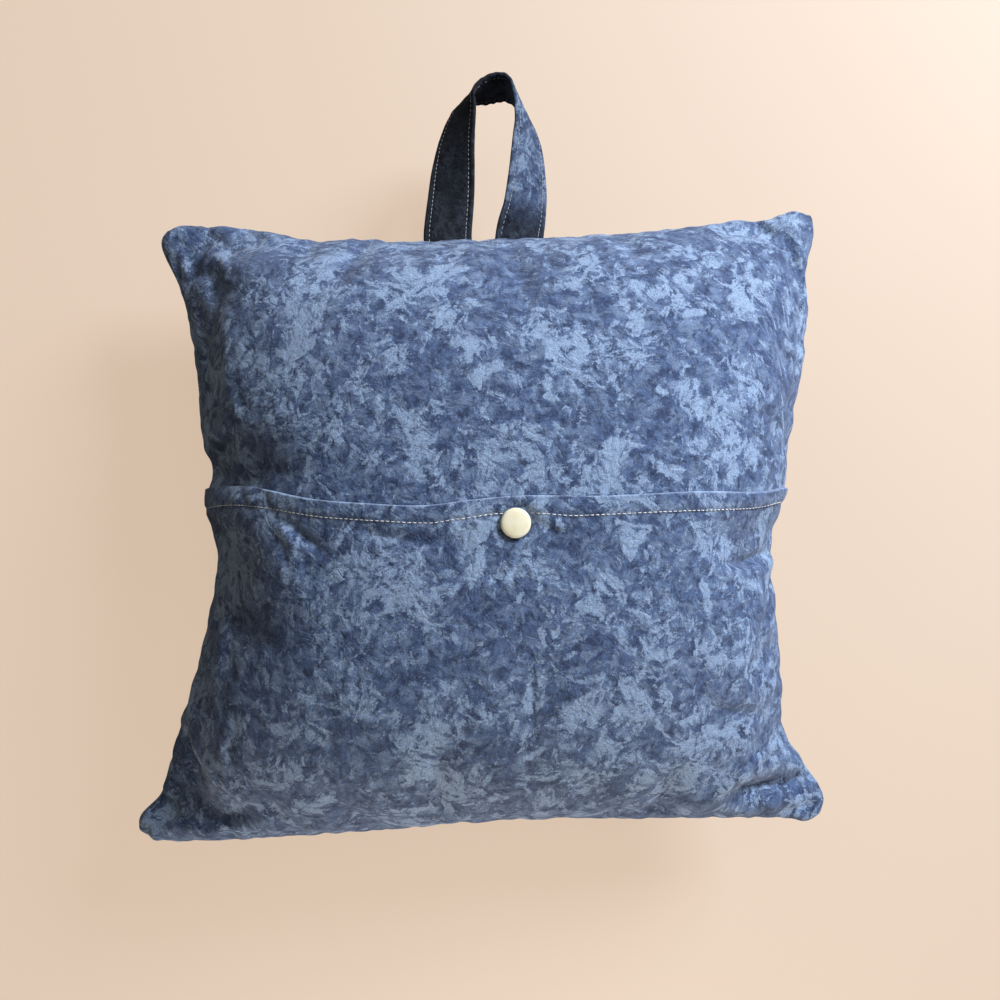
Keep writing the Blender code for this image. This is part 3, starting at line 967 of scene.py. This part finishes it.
def strap_seats(shares, total):
    """Seats of the two rows of stitches on each face of the strap."""
    seats = []
    row = 0.5 * STRAP_WIDTH - STRAP_ROW_INSET
    lengths = np.linspace(0.0, total, len(shares))
    for across in (-row, row):
        for outwards in (1.0, -1.0):
            along = ROW_START
            while along < total - ROW_START:
                points = []
                for spot in (along - SEAT_STEP, along + SEAT_STEP):
                    station = strap_frame(float(np.interp(spot, lengths, shares)))
                    height = outwards * strap_half_thickness(across)
                    points.append(strap_point(station, spot, total, across, height) * MM)
                direction = (points[1] - points[0]).normalized()
                seats.append(((points[0] + points[1]) * 0.5, direction, station[3] * outwards))
                along += STITCH_PITCH
    return seats


# Snap

SNAP_PROFILE = (
    (0.0, 2.75),
    (1.6, 2.74),
    (3.4, 2.68),
    (5.0, 2.56),
    (6.1, 2.40),
    (6.7, 2.22),
    (7.15, 1.95),
    (7.45, 1.55),
    (7.55, 1.1),
    (7.5, 0.7),
    (7.3, 0.42),
    (6.9, 0.3),
    (5.0, 0.3),
    (4.6, -1.2),
    (0.0, -1.2),
)


def build_snap(pocket):
    """Domed cap, spun from its profile and laid square on the hem."""
    mesh = bpy.data.meshes.new("snap_button")
    rows = [(x * MM, 0.0, z * MM) for x, z in SNAP_PROFILE]
    mesh.from_pydata(rows, [(index, index + 1) for index in range(len(rows) - 1)], [])
    snap = new_piece("snap_button", mesh)
    bpy.ops.object.mode_set(mode="EDIT")
    bpy.ops.mesh.select_all(action="SELECT")
    bpy.ops.mesh.spin(steps=72, angle=2.0 * math.pi, center=(0, 0, 0), axis=(0, 0, 1))
    bpy.ops.mesh.select_all(action="SELECT")
    bpy.ops.mesh.remove_doubles(threshold=WELD)
    bpy.ops.mesh.normals_make_consistent(inside=False)
    bpy.ops.object.mode_set(mode="OBJECT")
    subdivide_smoothly(snap, 1)
    snap.data.shade_smooth()
    surface = surface_of(pocket)
    around = []
    for step in range(SNAP_SEATS):
        angle = 2.0 * math.pi * step / SNAP_SEATS
        x = (SNAP_X + SNAP_SEAT_RADIUS * math.cos(angle)) * MM
        y = (SNAP_Y + SNAP_SEAT_RADIUS * math.sin(angle)) * MM
        around.append(surface.ray_cast(Vector((x, y, HIGH)), Vector((0, 0, -1)))[0])
    centre = sum(around, Vector()) / len(around)
    normal = Vector()
    for start, end in zip(around, around[1:] + around[:1]):
        normal += (start - centre).cross(end - centre)
    normal.normalize()
    turn = normal.to_track_quat("Z", "Y").to_matrix().to_4x4()
    snap.data.transform(Matrix.Translation(centre + normal * SNAP_LIFT) @ turn)
    return snap


# Shader node groups

class Tree:
    """Short ways to add and link the nodes of one node tree."""

    def __init__(self, tree):
        self.tree = tree

    def add(self, kind, name=None, **values):
        node = self.tree.nodes.new(kind)
        if name:
            node.name = name
            node.label = name
        for key, value in values.items():
            setattr(node, key, value)
        return node

    def link(self, start, end):
        self.tree.links.new(start, end)

    def feed(self, node, **values):
        """Set or link inputs of a node by name, with underscores for spaces."""
        for key, value in values.items():
            socket = node.inputs[key.replace("_", " ")]
            if isinstance(value, bpy.types.NodeSocket):
                self.link(value, socket)
            else:
                socket.default_value = value
        return node

    def fill(self, sockets, values):
        """Set or link sockets in their order, and leave those without a value."""
        for socket, value in zip(sockets, values):
            if isinstance(value, bpy.types.NodeSocket):
                self.link(value, socket)
            elif value is not None:
                socket.default_value = value

    def math(self, operation, first, second=None):
        node = self.add("ShaderNodeMath", operation=operation)
        self.fill(node.inputs, (first, second))
        return node.outputs[0]

    def vector(self, operation, first, second=None, scale=None):
        node = self.add("ShaderNodeVectorMath", operation=operation)
        self.fill(node.inputs, (first, second))
        if scale is not None:
            node.inputs["Scale"].default_value = scale
        return node.outputs[0]

    def noise(self, vector, scale, detail=2.0, roughness=0.5, distortion=0.0):
        node = self.add("ShaderNodeTexNoise")
        self.feed(node, Vector=vector, Scale=scale, Detail=detail, Roughness=roughness,
                  Distortion=distortion)
        return node

    def ramp(self, value, low, high, to_low=0.0, to_high=1.0):
        node = self.add("ShaderNodeMapRange", interpolation_type="SMOOTHSTEP")
        self.feed(node, Value=value, From_Min=low, From_Max=high, To_Min=to_low, To_Max=to_high)
        return node.outputs["Result"]

    def mix(self, factor, first, second, blend="MIX"):
        node = self.add("ShaderNodeMix", data_type="RGBA", blend_type=blend)
        self.fill((node.inputs[0], node.inputs[6], node.inputs[7]), (factor, first, second))
        return node.outputs[2]

    def blend_values(self, factor, first, second):
        node = self.add("ShaderNodeMix", data_type="FLOAT")
        self.fill((node.inputs[0], node.inputs[2], node.inputs[3]), (factor, first, second))
        return node.outputs[0]

    def swayed(self, place, scale, detail, roughness, reach):
        """Place moved about by a noise."""
        sway = self.noise(place, scale, detail, roughness).outputs["Color"]
        sway = self.vector("SUBTRACT", sway, (0.5, 0.5, 0.5))
        return self.vector("ADD", place, self.vector("SCALE", sway, scale=reach))

    def stirred(self, value, stir, reach):
        """Value raised and lowered by a noise around a half."""
        return self.math("ADD", value, self.math("MULTIPLY", self.math("SUBTRACT", stir, 0.5), reach))

    def shaded(self, colour, shade):
        """Colour made lighter or darker by a value."""
        grey = self.add("ShaderNodeCombineColor")
        self.fill(grey.inputs, (shade, shade, shade))
        return self.mix(1.0, colour, grey.outputs["Color"], "MULTIPLY")


def new_group(name, inputs, outputs):
    """Empty node group with named sockets, and its input and output nodes."""
    group = bpy.data.node_groups.new(name, "ShaderNodeTree")
    for label, kind, value in inputs:
        socket = group.interface.new_socket(name=label, in_out="INPUT", socket_type=kind)
        if value is not None:
            socket.default_value = value
    for label, kind in outputs:
        group.interface.new_socket(name=label, in_out="OUTPUT", socket_type=kind)
    tree = Tree(group)
    return group, tree, tree.add("NodeGroupInput"), tree.add("NodeGroupOutput")


def crushed_strokes(tree, place, cells, strokes):
    """Brush-like strokes whose direction changes from one crushed patch of cloth to the next."""
    patches = tree.add("ShaderNodeTexVoronoi", voronoi_dimensions="2D", feature="F1")
    tree.feed(patches, Vector=place, Scale=cells)
    parts = tree.add("ShaderNodeSeparateColor")
    tree.link(patches.outputs["Color"], parts.inputs["Color"])
    turned = tree.add("ShaderNodeVectorRotate", rotation_type="Z_AXIS")
    tree.feed(turned, Vector=place, Angle=tree.math("MULTIPLY", parts.outputs["Red"], math.pi))
    stretched = tree.add("ShaderNodeMapping", vector_type="POINT")
    tree.feed(stretched, Vector=turned.outputs["Vector"], Scale=(0.27, 1.0, 1.0))
    field = tree.noise(stretched.outputs["Vector"], strokes, 5.0, 0.62).outputs["Fac"]
    return tree.stirred(field, parts.outputs["Green"], 0.12)


def build_print_group():
    """Crushed two-tone print of the cotton: feathery pale patches over a mottled dark ground."""
    group, tree, given, result = new_group(
        "crushed print",
        (
            ("Cloth", "NodeSocketVector", None),
            ("Shift", "NodeSocketVector", (0.0, 0.0, 0.0)),
            ("Dark", "NodeSocketColor", (0.02, 0.03, 0.08, 1.0)),
            ("Middle", "NodeSocketColor", (0.06, 0.09, 0.2, 1.0)),
            ("Light", "NodeSocketColor", (0.2, 0.27, 0.45, 1.0)),
        ),
        (("Color", "NodeSocketColor"), ("Tone", "NodeSocketFloat")),
    )
    place = tree.vector("ADD", given.outputs["Cloth"], given.outputs["Shift"])
    bent = tree.swayed(place, 45.0, 2.0, 0.5, 0.012)
    frayed = tree.swayed(bent, 520.0, 4.0, 0.75, 0.0036)
    broad = crushed_strokes(tree, frayed, 60.0, 120.0)
    fine = crushed_strokes(tree, frayed, 130.0, 300.0)
    field = tree.blend_values(0.50, broad, fine)
    cloud = tree.noise(place, 26.0, 3.0).outputs["Fac"]
    field = tree.stirred(field, cloud, 0.34)
    stipple = tree.noise(place, 820.0, 3.0, 0.7).outputs["Fac"]
    field = tree.stirred(field, stipple, 0.18)
    pale = tree.ramp(field, 0.493, 0.580)
    mottle = tree.noise(frayed, 170.0, 7.0, 0.78).outputs["Fac"]
    deep = tree.ramp(mottle, 0.40, 0.60)
    ground = tree.mix(deep, given.outputs["Dark"], given.outputs["Middle"])
    haze = tree.noise(frayed, 120.0, 6.0, 0.75, 0.4).outputs["Fac"]
    haze = tree.ramp(haze, 0.45, 0.62, 0.0, 0.42)
    ground = tree.mix(haze, ground, given.outputs["Light"])
    speckle = tree.noise(place, 620.0, 4.0, 0.7).outputs["Fac"]
    pale = tree.math("MULTIPLY", pale, tree.ramp(speckle, 0.36, 0.56, 0.55, 1.0))
    colour = tree.mix(pale, ground, given.outputs["Light"])
    grain = tree.noise(place, 1500.0, 2.0, 0.6).outputs["Fac"]
    colour = tree.shaded(colour, tree.ramp(grain, 0.3, 0.7, 0.72, 1.25))
    tree.link(colour, result.inputs["Color"])
    tree.link(pale, result.inputs["Tone"])
    return group


def build_ear_group():
    """Mask of the four ears, where the print follows the place and not the threads."""
    group, tree, given, result = new_group(
        "ear mask",
        (("Place", "NodeSocketVector", None), ("Start", "NodeSocketFloat", 0.292)),
        (("Mask", "NodeSocketFloat"),),
    )
    parts = tree.add("ShaderNodeSeparateXYZ")
    tree.link(given.outputs["Place"], parts.inputs["Vector"])
    out = tree.math("ADD", *(tree.math("ABSOLUTE", parts.outputs[axis]) for axis in ("X", "Y")))
    ragged = tree.noise(given.outputs["Place"], 110.0, 4.0, 0.6).outputs["Fac"]
    over = tree.math("SUBTRACT", tree.stirred(out, ragged, 0.05), given.outputs["Start"])
    tree.link(tree.ramp(over, 0.0, 0.006), result.inputs["Mask"])
    return group


def build_weave_group():
    """Plain weave: warp and weft threads that pass over each other in turn."""
    group, tree, given, result = new_group(
        "plain weave",
        (
            ("Cloth", "NodeSocketVector", None),
            ("Pitch", "NodeSocketFloat", 0.00055),
            ("Unevenness", "NodeSocketFloat", 0.35),
        ),
        (("Height", "NodeSocketFloat"),),
    )
    place = tree.swayed(given.outputs["Cloth"], 320.0, 2.0, 0.5, 0.0006)
    parts = tree.add("ShaderNodeSeparateXYZ")
    tree.link(place, parts.inputs["Vector"])
    waves = []
    for axis in ("X", "Y"):
        turns = tree.math("DIVIDE", parts.outputs[axis], given.outputs["Pitch"])
        waves.append(tree.math("SINE", tree.math("MULTIPLY", turns, math.pi)))
    over = tree.math("MULTIPLY", waves[0], waves[1])
    warp = tree.math("MULTIPLY", tree.math("ABSOLUTE", waves[0]), 0.6)
    weft = tree.math("MULTIPLY", tree.math("ABSOLUTE", waves[1]), 0.6)
    height = tree.blend_values(tree.ramp(over, -0.3, 0.3), warp, weft)
    slub = tree.noise(given.outputs["Cloth"], 900.0, 3.0, 0.6).outputs["Fac"]
    slub = tree.math("MULTIPLY", slub, given.outputs["Unevenness"])
    tree.link(tree.math("ADD", height, slub), result.inputs["Height"])
    return group


def build_crumple_group():
    """Fine creases that crushed cotton keeps, too small for the mesh."""
    group, tree, given, result = new_group(
        "fine crumples",
        (("Cloth", "NodeSocketVector", None), ("Size", "NodeSocketFloat", 130.0)),
        (("Height", "NodeSocketFloat"),),
    )
    place = tree.swayed(given.outputs["Cloth"], 45.0, 2.0, 0.5, 0.02)
    coarse = tree.noise(place, given.outputs["Size"], 3.0).outputs["Fac"]
    ridge = tree.math("ABSOLUTE", tree.math("SUBTRACT", coarse, 0.5))
    ridge = tree.ramp(ridge, 0.0, 0.12)
    tree.link(ridge, result.inputs["Height"])
    return group


def build_wear_and_highlight_group():
    """Folded edges made paler by wear, with a painted highlight along the fold."""
    group, tree, given, result = new_group(
        "rubbed and highlit edge",
        (
            ("Color", "NodeSocketColor", (0.5, 0.5, 0.5, 1.0)),
            ("Worn Color", "NodeSocketColor", (0.5, 0.5, 0.5, 1.0)),
            ("Cloth", "NodeSocketVector", None),
            ("Mask", "NodeSocketFloat", 0.0),
        ),
        (("Color", "NodeSocketColor"),),
    )
    patch = tree.noise(given.outputs["Cloth"], 240.0, 4.0, 0.6).outputs["Fac"]
    amount = tree.math("MULTIPLY", given.outputs["Mask"], tree.ramp(patch, 0.3, 0.55, 0.35, 1.0))
    colour = tree.mix(amount, given.outputs["Color"], given.outputs["Worn Color"])
    tree.link(colour, result.inputs["Color"])
    return group


def build_thread_group():
    """Spun thread: its twist, with a colour and a roughness that change along it."""
    group, tree, given, result = new_group(
        "spun thread",
        (
            ("Place", "NodeSocketVector", None),
            ("Dull", "NodeSocketColor", (0.66, 0.66, 0.66, 1.0)),
            ("Clean", "NodeSocketColor", (0.88, 0.88, 0.88, 1.0)),
        ),
        (("Color", "NodeSocketColor"), ("Roughness", "NodeSocketFloat"), ("Height", "NodeSocketFloat")),
    )
    tint = tree.noise(given.outputs["Place"], 900.0, 3.0, 0.6).outputs["Fac"]
    colour = tree.mix(tree.ramp(tint, 0.3, 0.7), given.outputs["Dull"], given.outputs["Clean"])
    tree.link(colour, result.inputs["Color"])
    tree.link(tree.ramp(tint, 0.2, 0.8, 0.62, 0.8), result.inputs["Roughness"])
    twist = tree.add("ShaderNodeTexWave", wave_type="BANDS", bands_direction="DIAGONAL")
    tree.feed(twist, Vector=given.outputs["Place"], Scale=1100.0, Distortion=1.5)
    tree.link(twist.outputs["Fac"], result.inputs["Height"])
    return group


# Materials

COTTON_DARK = (0.023, 0.037, 0.086)
COTTON_MIDDLE = (0.064, 0.101, 0.203)
COTTON_LIGHT = (0.232, 0.316, 0.460)
# Paler blue of the hem's fold line: its wear and its painted highlight
WORN_AND_HIGHLIT_COTTON = (0.32, 0.40, 0.55, 1.0)
DULL_THREAD = 0.66
CLEAN_THREAD = 0.88


def new_material(name):
    """A new material, its Principled shader and the Tree of its nodes."""
    material = bpy.data.materials.new(name)
    material.use_nodes = True
    shader = material.node_tree.nodes["Principled BSDF"]
    return material, shader, Tree(material.node_tree)


def cotton_material(name, groups, shift, ears=True, worn_and_lit=False, depth=1.0, painted_shade=None):
    """Crushed blue cotton with its print, weave and fine creases; it can also carry painted shade along
    its length and a paler hem fold.
    """
    material, shader, tree = new_material(name)
    cloth = tree.add("ShaderNodeUVMap", uv_map="cloth").outputs["UV"]
    printed = tree.add("ShaderNodeGroup", "print", node_tree=groups["print"])
    tones = {}
    for tone, value in (("Dark", COTTON_DARK), ("Middle", COTTON_MIDDLE), ("Light", COTTON_LIGHT)):
        tones[tone] = tuple(part * depth for part in value) + (1.0,)
    tree.feed(printed, Cloth=cloth, Shift=shift, **tones)
    colour = printed.outputs["Color"]
    tone = printed.outputs["Tone"]
    if ears:
        place = tree.add("ShaderNodeTexCoord").outputs["Object"]
        mask = tree.add("ShaderNodeGroup", "ears", node_tree=groups["ears"])
        tree.feed(mask, Place=place)
        placed = tree.add("ShaderNodeGroup", "print on ears", node_tree=groups["print"])
        tree.feed(placed, Cloth=place, Shift=shift, **tones)
        colour = tree.mix(mask.outputs["Mask"], colour, placed.outputs["Color"])
        tone = tree.blend_values(mask.outputs["Mask"], tone, placed.outputs["Tone"])
    # Painted shade: the colour is darkened by ramps along the strap's length, where the loop stands in
    # shade.
    if painted_shade:
        parts = tree.add("ShaderNodeSeparateXYZ")
        tree.link(cloth, parts.inputs["Vector"])
        ramps = [tree.ramp(parts.outputs["X"], *row) for row in painted_shade]
        colour = tree.shaded(colour, tree.math("MULTIPLY", *ramps))
    # Hem fold made paler: rubbed wear and a painted highlight of the fold.
    if worn_and_lit:
        mask = tree.add("ShaderNodeAttribute", attribute_name="wear_and_highlight").outputs["Fac"]
        rubbed_and_lit = tree.add("ShaderNodeGroup", "edge", node_tree=groups["wear_and_highlight"])
        tree.feed(rubbed_and_lit, Color=colour, Worn_Color=WORN_AND_HIGHLIT_COTTON, Cloth=cloth, Mask=mask)
        colour = rubbed_and_lit.outputs["Color"]
    tree.link(colour, shader.inputs["Base Color"])
    rough = tree.ramp(tone, 0.0, 1.0, 0.93, 0.84)
    tree.link(rough, shader.inputs["Roughness"])
    weave = tree.add("ShaderNodeGroup", "weave", node_tree=groups["weave"])
    tree.feed(weave, Cloth=cloth, Pitch=0.00055, Unevenness=0.5)
    crumple = tree.add("ShaderNodeGroup", "crumples", node_tree=groups["crumple"])
    tree.feed(crumple, Cloth=cloth, Size=115.0)
    fine = tree.add("ShaderNodeBump")
    tree.feed(fine, Strength=0.45, Distance=0.00016, Height=weave.outputs["Height"])
    broad = tree.add("ShaderNodeBump")
    tree.feed(broad, Strength=0.5, Distance=0.0005, Height=crumple.outputs["Height"],
              Normal=fine.outputs["Normal"])
    tree.link(broad.outputs["Normal"], shader.inputs["Normal"])
    shader.inputs["Specular IOR Level"].default_value = 0.25
    shader.inputs["Sheen Weight"].default_value = 0.18 * depth * depth
    shader.inputs["Sheen Roughness"].default_value = 0.5
    shader.inputs["Sheen Tint"].default_value = (0.75, 0.82, 1.0, 1.0)
    return material


def thread_material(name, groups, depth):
    """Off-white spun thread with its twist."""
    material, shader, tree = new_material(name)
    place = tree.add("ShaderNodeTexCoord").outputs["Object"]
    spun = tree.add("ShaderNodeGroup", "thread", node_tree=groups["thread"])
    dull, clean = ((tone * depth,) * 3 + (1.0,) for tone in (DULL_THREAD, CLEAN_THREAD))
    tree.feed(spun, Place=place, Dull=dull, Clean=clean)
    tree.link(spun.outputs["Color"], shader.inputs["Base Color"])
    bump = tree.add("ShaderNodeBump")
    tree.feed(bump, Strength=0.6, Distance=0.0001, Height=spun.outputs["Height"])
    tree.link(bump.outputs["Normal"], shader.inputs["Normal"])
    tree.link(spun.outputs["Roughness"], shader.inputs["Roughness"])
    shader.inputs["Sheen Weight"].default_value = 0.15
    return material


def snap_material():
    """Cream moulded plastic, a little uneven, with fine handling marks."""
    material, shader, tree = new_material("snap plastic")
    place = tree.add("ShaderNodeTexCoord").outputs["Object"]
    cloud = tree.noise(place, 160.0, 3.0, 0.55).outputs["Fac"]
    colour = tree.mix(tree.ramp(cloud, 0.35, 0.65), (0.775, 0.71, 0.49, 1.0), (0.84, 0.785, 0.60, 1.0))
    tree.link(colour, shader.inputs["Base Color"])
    marks = tree.noise(place, 1300.0, 4.0, 0.65).outputs["Fac"]
    tree.link(tree.ramp(marks, 0.35, 0.75, 0.24, 0.40), shader.inputs["Roughness"])
    bump = tree.add("ShaderNodeBump")
    tree.feed(bump, Strength=0.25, Distance=0.00006, Height=marks)
    tree.link(bump.outputs["Normal"], shader.inputs["Normal"])
    shader.inputs["Coat Weight"].default_value = 0.2
    shader.inputs["Coat Roughness"].default_value = 0.2
    return material


def floor_material():
    """Pale matt surface that the camera sees brighter than it lights what stands on it."""
    material, shader, tree = new_material("pale surface")
    place = tree.add("ShaderNodeTexCoord").outputs["Object"]
    cloud = tree.noise(place, 2.2, 2.0).outputs["Fac"]
    cloud = tree.ramp(cloud, 0.3, 0.7)
    colour = tree.mix(cloud, (0.148, 0.135, 0.121, 1.0), (0.160, 0.146, 0.132, 1.0))
    tree.link(colour, shader.inputs["Base Color"])
    seen = tree.add("ShaderNodeLightPath").outputs["Is Camera Ray"]
    glow = tree.mix(seen, (0.0, 0.0, 0.0, 1.0), (0.625, 0.478, 0.363, 1.0))
    tree.link(glow, shader.inputs["Emission Color"])
    shader.inputs["Emission Strength"].default_value = 1.0
    shader.inputs["Roughness"].default_value = 0.85
    return material


# Stage

def build_camera():
    data = bpy.data.cameras.new("camera")
    data.lens = CAMERA_LENS
    data.sensor_width = CAMERA_SENSOR
    data.clip_start = 0.01
    camera = bpy.data.objects.new("camera", data)
    camera.location = CAMERA_PLACE
    camera.rotation_euler = (math.radians(CAMERA_TILT), 0.0, 0.0)
    bpy.context.scene.collection.objects.link(camera)
    bpy.context.scene.camera = camera


def add_area_light(name, place, aim, size, power, colour):
    data = bpy.data.lights.new(name, "AREA")
    data.shape = "DISK"
    data.size = size
    data.energy = power
    data.color = colour
    light = bpy.data.objects.new(name, data)
    light.location = place
    light.rotation_euler = (Vector(aim) - Vector(place)).to_track_quat("-Z", "Y").to_euler()
    bpy.context.scene.collection.objects.link(light)


def build_stage():
    bpy.ops.object.select_all(action="DESELECT")
    bpy.ops.mesh.primitive_plane_add(size=6.0, location=(0.0, 0.0, -0.0003))
    floor = bpy.context.object
    floor.name = "floor"
    floor.data.materials.append(floor_material())
    bpy.context.scene.view_settings.view_transform = "Standard"
    add_area_light("key", (0.80, 0.71, 0.70), (0.0, 0.02, 0.08), 0.55, 28.8, (0.865, 0.918, 1.0))
    add_area_light("top", (0.30, 0.50, 1.60), (0.0, 0.0, 0.05), 1.2, 5.3, (1.0, 0.96, 0.88))
    add_area_light("bounce", (0.05, -0.75, 0.12), (0.0, -0.18, 0.06), 0.40, 4.6, (1.0, 0.93, 0.84))
    world = bpy.data.worlds.new("room")
    bpy.context.scene.world = world
    world.use_nodes = True
    sky = world.node_tree.nodes["Background"]
    sky.inputs["Color"].default_value = (1.0, 0.88, 0.73, 1.0)
    sky.inputs["Strength"].default_value = 0.105


def main():
    build_camera()
    build_stage()

    cover = lay_out_cover()
    subdivide_smoothly(cover, 1)
    settle_cover(cover)
    lay_out_weave(cover)
    subdivide_smoothly(cover, 1)
    refine_front(cover)
    shape_cover(cover, list(CREASES.values()) + short_wrinkles(SHORT_WRINKLES, WRINKLE_SEED))
    pocket, edge_places = cut_pocket(cover)
    sink_cover(cover)
    thicken_pocket(pocket, edge_places)
    strap, shares, total = build_strap()
    stitch = model_stitch()
    hem_row = sew("hem_stitches", hem_seats(pocket), stitch)
    strap_row = sew("loop_stitches", strap_seats(shares, total), stitch)
    bpy.data.objects.remove(stitch)
    snap = build_snap(pocket)

    groups = {
        "print": build_print_group(),
        "ears": build_ear_group(),
        "weave": build_weave_group(),
        "crumple": build_crumple_group(),
        "wear_and_highlight": build_wear_and_highlight_group(),
        "thread": build_thread_group(),
    }
    for piece in (cover, pocket, strap, hem_row, strap_row, snap):
        piece.data.materials.clear()
    cover.data.materials.append(cotton_material("cushion cotton", groups, (0.31, 0.12, 0.0)))
    pocket.data.materials.append(cotton_material("pocket cotton", groups, (2.4, 1.7, 0.0), worn_and_lit=True))
    # Loop cotton: the print's tones at 0.58, partly a darker cloth and partly painted shade; the ramps
    # along its length paint deep shade over the left half of the loop (to 0.12) and at the right foot
    # (to 0.2).
    loop_cotton = cotton_material(
        "loop cotton", groups, (5.2, 3.1, 0.0), ears=False, depth=0.58,
        painted_shade=((0.112, 0.138, 0.12, 1.0), (0.186, 0.212, 1.0, 0.20)),
    )
    strap.data.materials.append(loop_cotton)
    hem_row.data.materials.append(thread_material("hem thread", groups, 0.9))
    # Loop thread: the same thread darkened to 0.34, painted shade, as the loop stands in shade.
    strap_row.data.materials.append(thread_material("loop thread", groups, 0.34))
    snap.data.materials.append(snap_material())

    for piece in (cover, pocket, strap, hem_row, strap_row, snap):
        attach(piece, "root")
    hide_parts("cushion")
    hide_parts("pocket_panel")
    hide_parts("handle_strap")
    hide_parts("snap_cap")


main()
